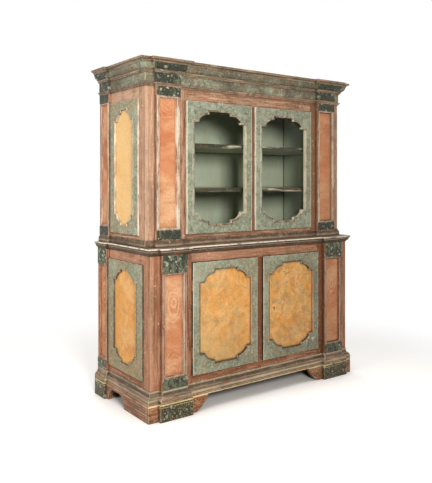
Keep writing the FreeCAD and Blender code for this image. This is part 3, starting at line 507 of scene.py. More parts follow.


# The finish over every ground: rubbed arrises, chips, grime and painted shade in the corners,
# painted shade to the right and down, dull wax
def aged(name, ground, worn=None, rubbed=0.6, chips=0.4, corner_dirt_and_shade=0.6, smoked=0.35,
         scuffed=0.12, roughness=0.5):
    """A ground with pits and scuffs, rubbed pale on its arrises, chipped, darkened in corners by
    grime and painted shade.
    Rubbed, chips, the corners' grime and painted shade, smoked and scuffed say how much of each,
    from 0 to 1."""
    if name in bpy.data.materials:
        return bpy.data.materials[name]
    paint, wear = group("paint"), group("wear")
    material, tree = blank(name)

    # Arrises that stand free are rubbed, and paint has chipped off here and there
    shape = add(tree, "ShaderNodeNewGeometry")
    rounded = add(tree, "ShaderNodeBevel", {"Radius": wear.edge}, samples=6)
    turned = add(tree, "ShaderNodeVectorMath", {
        0: rounded.outputs[0], 1: shape.outputs["True Normal"],
    }, operation="DOT_PRODUCT")
    arris = add(tree, "ShaderNodeMapRange", {
        "Value": turned.outputs["Value"], "From Min": 0.995, "From Max": 0.88,
    }, interpolation_type="SMOOTHSTEP")
    open_air = add(tree, "ShaderNodeAmbientOcclusion", {"Distance": wear.corner}, samples=6)
    outward = add(tree, "ShaderNodeMapRange", {
        "Value": open_air.outputs["AO"], "From Min": 0.60, "From Max": 0.85,
    })
    coords = add(tree, "ShaderNodeTexCoord")
    ragged = add(tree, "ShaderNodeTexNoise", {
        "Vector": coords.outputs["Object"], "Scale": 1 / 0.045, "Detail": 6.0,
        "Roughness": 0.7,
    })
    missing = add(tree, "ShaderNodeMapRange", {
        "Value": ragged.outputs[0], "From Min": 0.66 - 0.36 * rubbed,
        "From Max": 0.72 - 0.30 * rubbed,
    }, interpolation_type="SMOOTHSTEP")
    rub = add(tree, "ShaderNodeMath", {0: arris.outputs[0], 1: outward.outputs[0]},
              operation="MULTIPLY")
    rub = add(tree, "ShaderNodeMath", {0: rub.outputs[0], 1: missing.outputs[0]},
              operation="MULTIPLY")
    nick = add(tree, "ShaderNodeTexNoise", {
        "Vector": coords.outputs["Object"], "Scale": 1 / 0.028, "Detail": 4.0,
    })
    chip = add(tree, "ShaderNodeMapRange", {
        "Value": nick.outputs[0], "From Min": 0.68, "From Max": 0.71, "To Max": chips,
    })
    bare = add(tree, "ShaderNodeMath", {0: rub.outputs[0], 1: chip.outputs[0]},
               operation="MAXIMUM")

    # Over the ground lie smoke, painted shade towards the right and down, and scuffs, then the
    # rubs and chips, then grime and painted shade in the corners
    coat = dabbed(tree, ground(tree), paint.dirt_and_shade, size=0.300, start=0.48, full=0.66,
                  strength=smoked, seed=1.5)
    # Painted shade: every piece darkens towards the right and down, as the light falls off
    coat = graded(tree, coat, paint.dirt_and_shade, FALLOFF_SHADE_STARTS, FALLOFF_SHADE_IS_FULL, strength=0.20)
    coat = dabbed(tree, coat, paint.dirt_and_shade, size=0.012, start=0.50, full=0.62, strength=scuffed,
                  seed=21.0)
    coat = dabbed(tree, coat, paint.gesso, size=0.016, start=0.55, full=0.66, strength=scuffed,
                  seed=25.0)
    rubbed_coat = add(tree, "ShaderNodeMix", {
        0: rub.outputs[0], 6: coat, 7: worn or paint.gesso,
    }, data_type="RGBA")
    surface = add(tree, "ShaderNodeMix", {
        0: chip.outputs[0], 6: rubbed_coat.outputs[2], 7: paint.gesso,
    }, data_type="RGBA")
    # Grime and painted shade: darker where ambient occlusion finds a corner or recess
    dirt_and_shade_share = add(tree, "ShaderNodeMapRange", {
        "Value": open_air.outputs["AO"], "From Min": 0.94, "From Max": 0.48,
        "To Max": corner_dirt_and_shade,
    })
    dirtied_and_shaded_surface = add(tree, "ShaderNodeMix", {
        0: dirt_and_shade_share.outputs[0], 6: surface.outputs[2], 7: paint.dirt_and_shade,
    }, data_type="RGBA")

    # Brush strokes stand up a little, and bare places lie lower than the paint
    strokes = add(tree, "ShaderNodeTexNoise", {
        "Vector": coords.outputs["Object"], "Scale": 1 / 0.012, "Detail": 5.0,
    })
    height = add(tree, "ShaderNodeMath", {0: bare.outputs[0], 1: -0.5, 2: strokes.outputs[0]},
                 operation="MULTIPLY_ADD")
    relief = add(tree, "ShaderNodeBump", {
        "Strength": 0.35, "Distance": 0.0012, "Height": height.outputs[0],
        "Normal": rounded.outputs[0],
    })
    shader = add(tree, "ShaderNodeBsdfPrincipled", {
        "Base Color": dirtied_and_shaded_surface.outputs[2], "Roughness": roughness, "IOR": 1.45,
        "Specular IOR Level": 0.3, "Normal": relief.outputs[0],
    })
    add(tree, "ShaderNodeOutputMaterial", {"Surface": shader.outputs[0]})
    return material


def side_marble():
    """Green marbling of the side frames, smudged most with brown glaze, above all low down."""
    def ground(tree):
        coat = sage_ground(tree, smudged=0.75)
        return graded(tree, coat, group("paint").glaze, (0, 0, 0.95), (0, 0, 0.25), strength=0.5)
    return aged("sponged_sage_side", ground, rubbed=0.6, chips=0.4, smoked=0.05, scuffed=0.2)


def kicked(tree, ground, low, high, seed):
    """Chips down to the gesso where feet knock a door: a few, and many in their midst."""
    coat = ground
    size = high - low
    for (left, right, foot, top), start, full in (
            (KICKED, 0.53, 0.60), (KICKED_MOST, 0.44, 0.54)):
        chips = dabbed(tree, ground, group("paint").gesso, size=0.022, start=start, full=full,
                       strength=0.8, seed=seed)
        coat = inlaid(tree, coat, chips, (low.x + left * size.x, None, low.z + foot * size.z),
                      (low.x + right * size.x, None, low.z + top * size.z))
    return coat


def door_marble(stage):
    """The doors' green marbling, lined with gesso along both edges; chipped low down by feet."""
    smudged, pale = {"upper": (0.25, 1.0), "lower": (0.60, 0.6)}[stage]

    def ground(tree):
        paint = group("paint")
        coat = sage_ground(tree, smudged=smudged, dulled=0.2)
        if stage == "lower":
            # Painted light and shade: paler towards the left door's upper corner, browner towards
            # the right door's foot
            coat = graded(tree, coat, paint.sage_light, (-0.35, 0, 0.80), (-0.55, 0, 0.93),
                          strength=0.6)
            coat = graded(tree, coat, paint.umber_dark, (0.1, 0, 0.6), (0.5, 0, 0.2), strength=0.3)
        line = dabbed(tree, coat, paint.gesso, size=0.040, start=0.30, full=0.46, strength=pale,
                      seed=9.0)
        for side in SIDES:
            low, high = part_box("%s_door_%s" % (stage, side))
            coat = striped(tree, coat, line, "x", low.x, low.x + LEFT_LINE)
            coat = striped(tree, coat, line, "x", high.x - RIGHT_LINE, high.x)
            if stage == "lower":
                coat = kicked(tree, coat, low, high, {"left": 8.0, "right": 17.0}[side])
        return coat
    return aged("sponged_sage_%s_door" % stage, ground, rubbed=0.6, chips=0.4, smoked=0.2,
                scuffed=0.2)


def frieze_marble():
    """Green marbling of frieze and cove, dulled by smoke to a brownish green."""
    return aged("smoked_frieze_marble", frieze_ground, rubbed=0.4, scuffed=0.2)


def red_paint(stage, axis):
    """Red-brown paint dragged along one axis, streaky and rubbed to its paler undercoat."""
    paint = group("paint")
    worn = paint.rust_light if stage == "lower" else paint.rose_light
    return aged("dragged_%s_red_%s" % (stage, axis), lambda tree: red_ground(tree, stage, axis),
                worn, rubbed=0.7)


def by_keyhole(tree, ground, inner, reach):
    """The inner colour so far to the left, right, foot and top of the keyhole."""
    left, right, down, up = reach
    lock_low, lock_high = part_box("lock_case")
    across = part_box("lower_door_right")[0].x + KEYHOLE_DISTANCE
    height = (lock_low.z + lock_high.z) / 2
    return inlaid(tree, ground, inner, (across - left, None, height - down),
                  (across + right, None, height + up))


def siena_marble(side):
    """Yellow marbling under wax: on the left ochre low down, on the right more olive, with a
    rubbed patch round the keyhole, whose head and stem are painted dark as the shade in a hole."""
    def ground(tree):
        paint = group("paint")
        if side == "left":
            coat = siena_ground(tree, seed=0.0, veins=0.5, olive=0.35)
            return graded(tree, coat, paint.ochre, (-0.2, 0, 0.55), (-0.3, 0, 0.25), strength=0.45)
        coat = siena_ground(tree, seed=5.0, veins=0.7, olive=0.45)
        rubs = dabbed(tree, coat, paint.siena_light, size=0.020, start=0.25, full=0.50,
                      strength=0.7, seed=1.0)
        coat = by_keyhole(tree, coat, rubs, KEYHOLE_RUBS)
        # The keyhole itself: painted shade in its head and stem
        coat = by_keyhole(tree, coat, paint.dirt_and_shade, KEYHOLE_HEAD)
        return by_keyhole(tree, coat, paint.dirt_and_shade, KEYHOLE_STEM)
    return aged("waxed_siena_" + side, ground, rubbed=0.2, chips=0.1, corner_dirt_and_shade=1.0, smoked=0.05,
                scuffed=0.04)


def agate_paint(name):
    """Salmon agate in the panel of one pilaster; on the right side it is browner."""
    low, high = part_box(name)
    eyed = 0.9 if name.startswith("lower") else 0.0
    browned = 0.05 if name.endswith("left") else 0.2
    return aged("feathered_agate_" + name,
                lambda tree: agate_ground(tree, low, high, eyed, browned), rubbed=0.1,
                chips=0.2, corner_dirt_and_shade=0.7, smoked=0.1, scuffed=0.04)


def bead_paint(stage):
    """The front of a bead: green rubbed to cream, its arcs brown; below, brown and pink. Its right
    part is paler, as rubs and painted light; below, the brown is painted shade.
    """
    def ground(tree):
        paint = group("paint")
        green = sage_ground(tree, smudged=0.4, seed=2.0)
        if stage == "upper":
            coat = dabbed(tree, green, paint.cream, size=0.050, start=0.42, full=0.60,
                          strength=0.4, seed=6.0)
            worn = dabbed(tree, green, paint.cream, size=0.050, start=0.34, full=0.54,
                          strength=0.9, seed=6.0)
            arcs = dabbed(tree, coat, paint.umber_dark, size=0.040, start=0.34, full=0.56,
                          strength=0.8, seed=3.0)
            arcs = dabbed(tree, arcs, paint.rose_light, size=0.024, start=0.48, full=0.60,
                          strength=0.6, seed=8.0)
        else:
            coat = dabbed(tree, green, paint.umber_dark, size=0.060, start=0.34, full=0.50,
                          strength=0.8, seed=6.0)
            worn = dabbed(tree, green, paint.rust_light, size=0.050, start=0.30, full=0.50,
                          strength=0.9, seed=6.0)
        # Painted light: the right part of each bead is paler; below, the brown left of it is
        # painted shade
        for side in SIDES:
            low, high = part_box("%s_door_%s" % (stage, side))
            size = high - low
            coat = striped(tree, coat, worn, "x", low.x + LIT_AND_RUBBED_BEAD * size.x, high.x)
            if stage == "upper":
                for foot, top in BEAD_ARCS:
                    coat = inlaid(tree, coat, arcs, (low.x, None, low.z + foot * size.z),
                                  (high.x, None, low.z + top * size.z))
        return coat
    return aged("rubbed_%s_bead" % stage, ground, rubbed=0.3 if stage == "upper" else 0.1,
                chips=0.3, corner_dirt_and_shade=0.5)


def reveal_paint(stage):
    """The reveal beside a light or panel: cream above, pink-brown below, worn smooth."""
    paint = group("paint")
    body, tint = ((paint.cream, paint.gesso) if stage == "upper"
                  else (paint.rust_light, paint.cream))

    def ground(tree):
        coat = dabbed(tree, body, tint, size=0.060, start=0.40, full=0.60, strength=0.7, seed=3.0)
        return dabbed(tree, coat, paint.umber, size=0.040, start=0.56, full=0.68, strength=0.5,
                      seed=5.0)
    return aged("smooth_%s_reveal" % stage, ground, rubbed=0.2, chips=0.3, corner_dirt_and_shade=0.1,
                smoked=0.05)


def verde_marble(stage):
    """Verde antico of the pilasters' blocks and the breaks above them: nearly black, flecked."""
    paleness = {"lower": 1.0, "upper": 0.2}[stage]
    return aged("verde_antico_" + stage, lambda tree: verde_ground(tree, paleness=paleness),
                rubbed=0.35, chips=0.2, corner_dirt_and_shade=0.3, smoked=0.2, scuffed=0.0)


def lined_verde_marble():
    """The plinth blocks' marble, with two straw lines painted under their top edge."""
    def ground(tree):
        paint = group("paint")
        coat = verde_ground(tree, paleness=0.0)
        coat = dabbed(tree, coat, paint.umber, size=0.040, start=0.52, full=0.66, strength=0.35,
                      seed=2.0)
        coat = dabbed(tree, coat, paint.ochre, size=0.011, start=0.56, full=0.61, strength=0.8,
                      seed=8.0)
        line = dabbed(tree, coat, paint.straw, size=0.060, start=0.30, full=0.50, strength=0.95,
                      seed=5.0)
        coat = banded(tree, coat, line, "plinth_block_front_left", BLOCK_FINE_LINE, strength=0.5)
        return banded(tree, coat, line, "plinth_block_front_left", BLOCK_BROAD_LINE, strength=0.9)
    return aged("lined_verde_antico", ground, group("paint").ochre, rubbed=0.7, chips=0.0,
                corner_dirt_and_shade=0.4, smoked=0.2, scuffed=0.0)


def umber_distemper(axis):
    """Grey-brown distemper brushed along a moulding, matt, its arrises rubbed to cream."""
    return aged("umber_distemper_" + axis, lambda tree: umber_ground(tree, axis),
                group("paint").cream, rubbed=0.75, corner_dirt_and_shade=0.9)


def banded_distemper(axis):
    """The base moulding's distemper: rubbed pale and painted with highlights on its two rounds,
    dark in the hollow between as painted shade, rusty at its foot."""
    def ground(tree):
        paint = group("paint")
        coat = umber_ground(tree, axis)
        light = dragged(tree, coat, paint.cream, width=0.060, start=0.30, full=0.56,
                        strength=0.8 if axis == "x" else 0.4, axis=axis, seed=4.0)
        dark = dragged(tree, coat, paint.dirt_and_shade, width=0.060, start=0.30, full=0.56, strength=0.7,
                       axis=axis, seed=6.0)
        coat = banded(tree, coat, light, "base_moulding", BASE_UPPER_ROUND)
        foot = dragged(tree, coat, paint.rust, width=0.080, start=0.30, full=0.60, strength=0.7,
                       axis=axis, seed=8.0)
        coat = banded(tree, coat, dark, "base_moulding", BASE_HOLLOW)
        coat = banded(tree, coat, light, "base_moulding", BASE_LOWER_ROUND)
        return banded(tree, coat, foot, "base_moulding", BASE_FOOT)
    return aged("banded_distemper_" + axis, ground, group("paint").cream, rubbed=0.75,
                corner_dirt_and_shade=0.9)


def worn_lip(axis):
    """The round of the waist's lip, worn to the gesso by elbows along its upper part, and dark
    brown below it as painted shade.
    """
    def ground(tree):
        paint = group("paint")
        coat = dragged(tree, paint.umber_dark, paint.umber, width=0.030, start=0.54, full=0.66,
                       strength=0.5, axis=axis)
        light = dragged(tree, paint.umber_light, paint.gesso, width=0.050, start=0.30, full=0.46,
                        strength=1.0, axis=axis, seed=5.0)
        light = dabbed(tree, light, paint.umber_dark, size=0.030, start=0.54, full=0.62,
                       strength=0.75, seed=3.0)
        return banded(tree, coat, light, "waist_top", LIP_ROUND)
    return aged("worn_lip_" + axis, ground, rubbed=1.0, corner_dirt_and_shade=0.9, smoked=0.0)


def smoked_distemper(axis):
    """The distemper gone dark brown at the waist, rubbed pale and painted with a highlight along
    its round, dark in its hollow as painted shade.
    """
    def ground(tree):
        paint = group("paint")
        coat = dabbed(tree, umber_ground(tree, axis), paint.umber_dark, size=0.060, start=0.30,
                      full=0.54, strength=0.8, seed=12.0)
        light = dragged(tree, coat, paint.umber_light, width=0.060, start=0.30, full=0.56,
                        strength=0.8, axis=axis, seed=4.0)
        dark = dragged(tree, coat, paint.dirt_and_shade, width=0.060, start=0.30, full=0.56, strength=0.6,
                       axis=axis, seed=6.0)
        coat = banded(tree, coat, light, "upper_base_moulding", UPPER_BASE_ROUND)
        return banded(tree, coat, dark, "upper_base_moulding", UPPER_BASE_HOLLOW)
    return aged("smoked_distemper_" + axis, ground, group("paint").rose_light, rubbed=0.6,
                corner_dirt_and_shade=0.9)


def string_course(axis):
    """The thin moulding under the frieze: brown, rubbed pink along its length."""
    def ground(tree):
        paint = group("paint")
        coat = dragged(tree, paint.umber, paint.rose_light, width=0.060, start=0.46, full=0.60,
                       strength=0.7, axis=axis)
        return dabbed(tree, coat, paint.umber_dark, size=0.035, start=0.50, full=0.62,
                      strength=0.6, seed=3.0)
    return aged("rubbed_string_" + axis, ground, group("paint").rose_light, rubbed=0.5,
                corner_dirt_and_shade=0.8)


def shaded_distemper(axis):
    """Dark brown distemper as painted shade under the waist and on the doors' edges that lie in
    shade.
    """
    def ground(tree):
        paint = group("paint")
        coat = dragged(tree, paint.umber_dark, paint.umber, width=0.030, start=0.54, full=0.66,
                       strength=0.5, axis=axis)
        coat = dragged(tree, coat, paint.dirt_and_shade, width=0.040, start=0.42, full=0.60, strength=0.7,
                       axis=axis, seed=5.0)
        return dabbed(tree, coat, paint.rust, size=0.080, start=0.52, full=0.66, strength=0.4,
                      seed=3.0)
    return aged("shaded_distemper_" + axis, ground, group("paint").umber, rubbed=0.3)


def rubbed_gesso():
    """Gesso bared along an arris: chalky white, grey-brown in its pores."""
    return aged("rubbed_gesso", gesso_ground, rubbed=0.2, chips=0.0, corner_dirt_and_shade=0.1, smoked=0.1)


def limewash():
    """Brushed limewash inside the upper stage: dead matt, pale grey-green."""
    return aged("limewash", limewash_ground, rubbed=0.2, chips=0.1, corner_dirt_and_shade=0.5, smoked=0.1,
                scuffed=0.03, roughness=0.8)


def poplar(axis):
    """Planed poplar left bare: matt brown, its grain along one axis."""
    return aged("old_poplar_" + axis, lambda tree: poplar_ground(tree, axis), rubbed=0.1,
                chips=0.0, corner_dirt_and_shade=0.5, scuffed=0.1, roughness=0.75)


def worn_shelf_edge():
    """Front edge of a shelf, dark where hands and china have rubbed it."""
    def ground(tree):
        paint = group("paint")
        coat = dragged(tree, paint.umber_dark, paint.verde, width=0.030, start=0.40, full=0.56,
                       strength=0.8, axis="x")
        return dragged(tree, coat, paint.gesso, width=0.022, start=0.57, full=0.66, strength=0.9,
                       axis="x", seed=2.0)
    return aged("worn_shelf_edge", ground, rubbed=0.1, chips=0.3)


def face_frame_paint(stage):
    """Red-brown paint dragged up the stiles and along the rails of a face frame."""
    paint = group("paint")
    light, dark, strip = ((paint.rust_light, paint.rust_dark, 0.20) if stage == "lower"
                          else (paint.rose_light, paint.rose_dark, 0.40))

    def ground(tree):
        low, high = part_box(stage + "_door_left")
        foot, top = [corner.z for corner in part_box(stage + "_face_frame")]
        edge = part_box(stage + "_side_left")[0].x
        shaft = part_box(stage + "_pilaster_front_left")[0].x
        reach = -low.x
        stiles = red_ground(tree, stage, "z")
        rails = red_ground(tree, stage, "x")
        coat = inlaid(tree, stiles, rails, (-reach, None, foot), (reach, None, low.z))
        coat = inlaid(tree, coat, rails, (-reach, None, high.z), (reach, None, top))

        # Painted shade: dark on the middle post between the proud doors, right of the doors and a
        # little left of them; paler outside the pilasters
        coat = inlaid(tree, coat, dark, (high.x, None, low.z), (-high.x, None, high.z),
                      strength=0.9)
        coat = striped(tree, coat, dark, "x", reach, -shaft, strength=0.9)
        coat = striped(tree, coat, light, "x", -shaft, -edge, strength=0.5 * strip)
        coat = inlaid(tree, coat, dark, (shaft, None, low.z), (low.x, None, high.z), strength=0.25)
        coat = striped(tree, coat, light, "x", edge, shaft, strength=strip)
        if stage == "lower":
            # The rail under the waist is painted paler and paler towards the left, as painted
            # light from the left
            rail = graded(tree, coat, light, (0.5, 0, top), (-0.5, 0, top), strength=0.65)
            coat = inlaid(tree, coat, rail, (-reach, None, high.z), (reach, None, top))
        return striped(tree, coat, light, "x", edge, edge + RUBBED_ARRIS, strength=0.6)
    return aged("dragged_face_frame_" + stage, ground, light, rubbed=0.7)


def side_board_paint(stage):
    """Red-brown side board with a Siena panel inside the shaped frame."""
    paint = group("paint")
    light = paint.rust_light if stage == "lower" else paint.rose_light

    def ground(tree):
        low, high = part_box(stage + "_side_frame_left")
        foot, top = [corner.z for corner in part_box(stage + "_side_left")]
        stiles = red_ground(tree, stage, "z")
        rails = red_ground(tree, stage, "y")
        stiles = dabbed(tree, stiles, light, size=0.080, start=0.34, full=0.60, strength=0.4,
                        seed=4.0)
        coat = inlaid(tree, stiles, rails, (None, low.y, foot), (None, high.y, low.z))
        rails = dabbed(tree, rails, light, size=0.080, start=0.30, full=0.55, strength=0.7,
                       seed=2.0)
        coat = inlaid(tree, coat, rails, (None, low.y, high.z), (None, high.y, top))
        panel = siena_ground(tree, seed=3.0, veins=0.35, olive=0.0)
        if stage == "upper":
            panel = dabbed(tree, panel, paint.siena_light, size=0.150, start=0.10, full=0.50,
                           strength=0.8, seed=2.0)
            panel = dabbed(tree, panel, paint.straw, size=0.150, start=0.20, full=0.60,
                           strength=0.45, seed=2.0)
        return inlaid(tree, coat, panel, (None, low.y, low.z), (None, high.y, high.z))
    return aged("dragged_side_board_" + stage, ground, light, rubbed=0.7, corner_dirt_and_shade=0.4,
                smoked=0.05)


def skirt_paint(axis):
    """Red-brown skirt: in front mottled with ochre under a straw and gesso line, at the sides
    with two thin cream lines."""
    def ground(tree):
        paint = group("paint")
        coat = red_ground(tree, "lower", axis)
        if axis == "x":
            coat = dabbed(tree, coat, paint.agate_dark, size=0.030, start=0.46, full=0.60,
                          strength=0.5, seed=4.0)
            coat = dabbed(tree, coat, paint.dirt_and_shade, size=0.016, start=0.48, full=0.60, strength=0.6,
                          seed=11.0)
            coat = dabbed(tree, coat, paint.ochre, size=0.012, start=0.54, full=0.62, strength=0.7,
                          seed=7.0)
            line = dabbed(tree, coat, paint.straw, size=0.060, start=0.10, full=0.34, strength=1.0,
                          seed=2.0)
            line = dabbed(tree, line, paint.gesso, size=0.060, start=0.40, full=0.60, strength=0.7,
                          seed=5.0)
            return banded(tree, coat, line, "plinth_front", SKIRT_FRONT_LINE)
        coat = dabbed(tree, coat, paint.umber, size=0.080, start=0.45, full=0.65, strength=0.6,
                      seed=4.0)
        line = dabbed(tree, coat, paint.cream, size=0.080, start=0.34, full=0.52, strength=0.9,
                      seed=2.0)
        for heights in SKIRT_SIDE_LINES:
            coat = banded(tree, coat, line, "plinth_left", heights)
        return coat
    return aged("dragged_skirt_" + axis, ground, group("paint").cream, rubbed=0.8)


def shaft_margin_paint(stage):
    """The pilaster's raised border: grey-green over brown, rubbed in streaks to the gesso."""
    pale, rubbed = {"lower": (0.25, 0.9), "upper": (0.80, 0.6)}[stage]

    def ground(tree):
        paint = group("paint")
        coat = red_ground(tree, stage, "z")
        coat = dabbed(tree, coat, paint.sage_dark, size=0.050, start=0.48, full=0.62, strength=0.4,
                      seed=3.0)
        return dabbed(tree, coat, paint.gesso, size=0.030, start=0.38, full=0.62, strength=pale,
                      stretch=(1, 1, 0.2), seed=5.0)
    return aged("rubbed_shaft_border_" + stage, ground, rubbed=rubbed)


def forged_iron():
    """Forged iron of the lock, nearly black, with brown rust in places."""
    name = "forged_iron"
    if name in bpy.data.materials:
        return bpy.data.materials[name]
    material, tree = blank(name)
    rust = dabbed(tree, linear("#3a3633"), linear("#6b4630"), size=0.012, start=0.50, full=0.66,
                  strength=0.8, seed=2.0)
    hammered = add(tree, "ShaderNodeTexNoise", {"Scale": 1 / 0.006, "Detail": 2.0})
    relief = add(tree, "ShaderNodeBump", {
        "Strength": 0.3, "Distance": 0.0005, "Height": hammered.outputs[0],
    })
    shader = add(tree, "ShaderNodeBsdfPrincipled", {
        "Base Color": rust, "Metallic": 0.85, "Roughness": 0.6, "Normal": relief.outputs[0],
    })
    add(tree, "ShaderNodeOutputMaterial", {"Surface": shader.outputs[0]})
    return material


def window_glass():
    """Thin drawn glass: clear, with a faint sheen that grows towards grazing."""
    name = "drawn_window_glass"
    if name in bpy.data.materials:
        return bpy.data.materials[name]
    material, tree = blank(name)
    grazing = add(tree, "ShaderNodeFresnel", {"IOR": 1.45})
    share = add(tree, "ShaderNodeMath", {0: grazing.outputs[0], 1: PANE_SHEEN},
                operation="MULTIPLY")
    clear = add(tree, "ShaderNodeBsdfTransparent", {"Color": linear("#fdfefc")})
    gloss = add(tree, "ShaderNodeBsdfGlossy", {"Roughness": 0.08})
    both = add(tree, "ShaderNodeMixShader", {
        0: share.outputs[0], 1: clear.outputs[0], 2: gloss.outputs[0],
    })
    add(tree, "ShaderNodeOutputMaterial", {"Surface": both.outputs[0]})
    return material


# Painting the frame's own nodes, face by face
def paint_faces(name, choose):
    """Gives each face of a CAD node the material that choose(centre, normal) names."""
    mesh = NODES[name].data
    mesh.materials.clear()
    for face in mesh.polygons:
        material = choose(face.center, face.normal)
        if material.name not in mesh.materials:
            mesh.materials.append(material)
        face.material_index = mesh.materials.find(material.name)


def run_of(normal):
    """The axis along which a moulding runs where its face looks this way."""
    return "y" if abs(normal.x) > 0.5 else "x"


def over_pilaster(centre):
    """Whether a point of a moulding is on one of its breaks round the pilasters."""
    inner, outer = [corner.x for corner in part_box("lower_pilaster_front_right")]
    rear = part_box("upper_pilaster_rear_right")[0]
    across = abs(centre.x)
    in_front = inner - BREAK_MARGIN < across < outer + BREAK_MARGIN and centre.y < rear.y
    behind = across > rear.x and centre.y > rear.y - BREAK_MARGIN
    return in_front or behind


class CABINET_OT_doors(bpy.types.Operator):
    """Paint the doors' frames, panels and panes"""

    bl_idname = "cabinet.doors"
    bl_label = "Doors"

    def execute(self, context):
        for stage in STAGES:
            for side in SIDES:
                self.door(stage, "%s_door_%s" % (stage, side))
        for side in SIDES:
            paint_faces("lower_panel_" + side, lambda centre, normal: (
                limewash() if normal.y > 0.5 else siena_marble(side)))
            paint_faces("upper_pane_" + side, lambda centre, normal: window_glass())
        return {"FINISHED"}

    def door(self, stage, name):
        """In turn the limewashed inside, outer edges, edges of the opening, bead and frame."""
        low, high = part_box(name)

        def choose(centre, normal):
            if normal.y > 0.5:
                return limewash()
            rim = min(centre.x - low.x, high.x - centre.x, centre.z - low.z,
                      high.z - centre.z)
            # Outer edges: rubbed gesso above; below, dark distemper as the painted shade of the
            # gap round the doors
            if abs(normal.y) < 0.5 and rim < HAIR:
                return rubbed_gesso() if stage == "upper" else shaded_distemper("x")
            # Edges of the opening: the upright ones cream; the level ones below, and above those
            # that look down, painted shade
            if abs(normal.y) < 0.5:
                upright = abs(normal.z) < 0.4 or stage == "upper" and normal.z > 0.0
                return reveal_paint(stage) if upright else shaded_distemper("x")
            if abs(normal.y) < 0.9 or centre.y < low.y + HAIR:
                return bead_paint(stage)
            return door_marble(stage)

        paint_faces(name, choose)


class CABINET_OT_side_frames(bpy.types.Operator):
    """Paint the shaped frames on the sides"""

    bl_idname = "cabinet.side_frames"
    bl_label = "Side frames"

    def execute(self, context):
        for stage in STAGES:
            for side in SIDES:
                paint_faces("%s_side_frame_%s" % (stage, side), lambda centre, normal: (
                    side_marble() if abs(normal.x) > 0.5 else
                    rubbed_gesso() if stage == "upper" and normal.y < -0.5 else
                    bead_paint(stage)))
        return {"FINISHED"}


class CABINET_OT_carcass(bpy.types.Operator):
    """Paint face frames, side boards, backs, floors and shelves"""

    bl_idname = "cabinet.carcass"
    bl_label = "Carcass"

    def execute(self, context):
        for stage in STAGES:
            inside = limewash() if stage == "upper" else poplar("z")
            paint_faces(stage + "_face_frame", lambda centre, normal: (
                inside if normal.y > 0.5 else face_frame_paint(stage)))
            for side in SIDES:
                outwards = -1 if side == "left" else 1
                paint_faces("%s_side_%s" % (stage, side), lambda centre, normal: (
                    side_board_paint(stage) if normal.x * outwards > 0.5 else inside))
        for name in ("lower_back", "upper_back"):
            inside = limewash() if name == "upper_back" else poplar("z")
            paint_faces(name, lambda centre, normal: (
                inside if normal.y < -0.5 else poplar("z")))
        for name in ("dust_board", "lower_floor", "lower_shelf", "plinth_back"):
            paint_faces(name, lambda centre, normal: poplar("x"))
        for name in ("upper_floor", "upper_ceiling"):
            paint_faces(name, lambda centre, normal: limewash())
        for name in ("upper_shelf_low", "upper_shelf_high"):
            paint_faces(name, lambda centre, normal: (
                worn_shelf_edge() if normal.y < -0.5 else limewash()))
        return {"FINISHED"}


class CABINET_OT_pilasters(bpy.types.Operator):
    """Paint the pilasters' blocks, borders and sunk panels"""

    bl_idname = "cabinet.pilasters"
    bl_label = "Pilasters"

    def execute(self, context):
        for stage in STAGES:
            for side in SIDES:
                for where in ("front", "rear"):
                    self.pilaster(stage, where, side)
        return {"FINISHED"}

    def pilaster(self, stage, where, side):
        """Blocks stand 4 mm proud of the shaft, whose panel is sunk and bevelled."""
        name = "%s_pilaster_%s_%s" % (stage, where, side)
        low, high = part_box(name)
        middle = (low + high) / 2
        outwards = Vector((0, -1, 0)) if where == "front" else Vector(
            (-1 if side == "left" else 1, 0, 0))
        top = max(outwards.dot(low), outwards.dot(high))
        block, shaft, panel = verde_marble(stage), shaft_margin_paint(stage), agate_paint(name)

        def choose(centre, normal):
            depth = top - outwards.dot(centre)
            facing = outwards.dot(normal)
            if depth < BEHIND_BLOCKS:
                return block
            if facing > 0.9 and depth > IN_PANEL:
                return panel
            if where == "rear" and facing > 0.1:
                return shaft if centre.y < middle.y else face_frame_paint(stage)
            if facing > 0.9 or facing > 0.1 and side == "left":
                return shaft
            return face_frame_paint(stage)

        paint_faces(name, choose)


class CABINET_OT_mouldings(bpy.types.Operator):
    """Paint plinth, base, waist, frieze and cornice"""

    bl_idname = "cabinet.mouldings"
    bl_label = "Mouldings"

    def execute(self, context):
        paint_faces("base_moulding", lambda centre, normal: banded_distemper(run_of(normal)))
        paint_faces("upper_base_moulding", lambda centre, normal: smoked_distemper(
            run_of(normal)))
        paint_faces("architrave", lambda centre, normal: string_course(run_of(normal)))
        paint_faces("waist_moulding", lambda centre, normal: shaded_distemper(run_of(normal)))
        paint_faces("waist_top", self.waist_top)
        paint_faces("frieze", lambda centre, normal: (
            verde_marble("upper") if over_pilaster(centre) else frieze_marble()))
        low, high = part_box("cornice")
        rise = high.z - low.z

        def cornice(centre, normal):
            if not COVE[0] < (centre.z - low.z) / rise < COVE[1]:
                return umber_distemper(run_of(normal))
            return verde_marble("upper") if over_pilaster(centre) else frieze_marble()

        paint_faces("cornice", cornice)
        for name in ("plinth_front", "plinth_left", "plinth_right"):
            paint_faces(name, lambda centre, normal: skirt_paint(run_of(normal)))
        for where in ("front", "rear"):
            for side in SIDES:
                paint_faces("plinth_block_%s_%s" % (where, side),
                            lambda centre, normal: lined_verde_marble())
        return {"FINISHED"}

    def waist_top(self, centre, normal):
        """Plain on its flat, worn on the round of its lip, shaded underneath."""
        if normal.z > LOOKS_UP:
            return umber_distemper("x")
        if normal.z > LOOKS_DOWN:
            return worn_lip(run_of(normal))
        return shaded_distemper(run_of(normal))


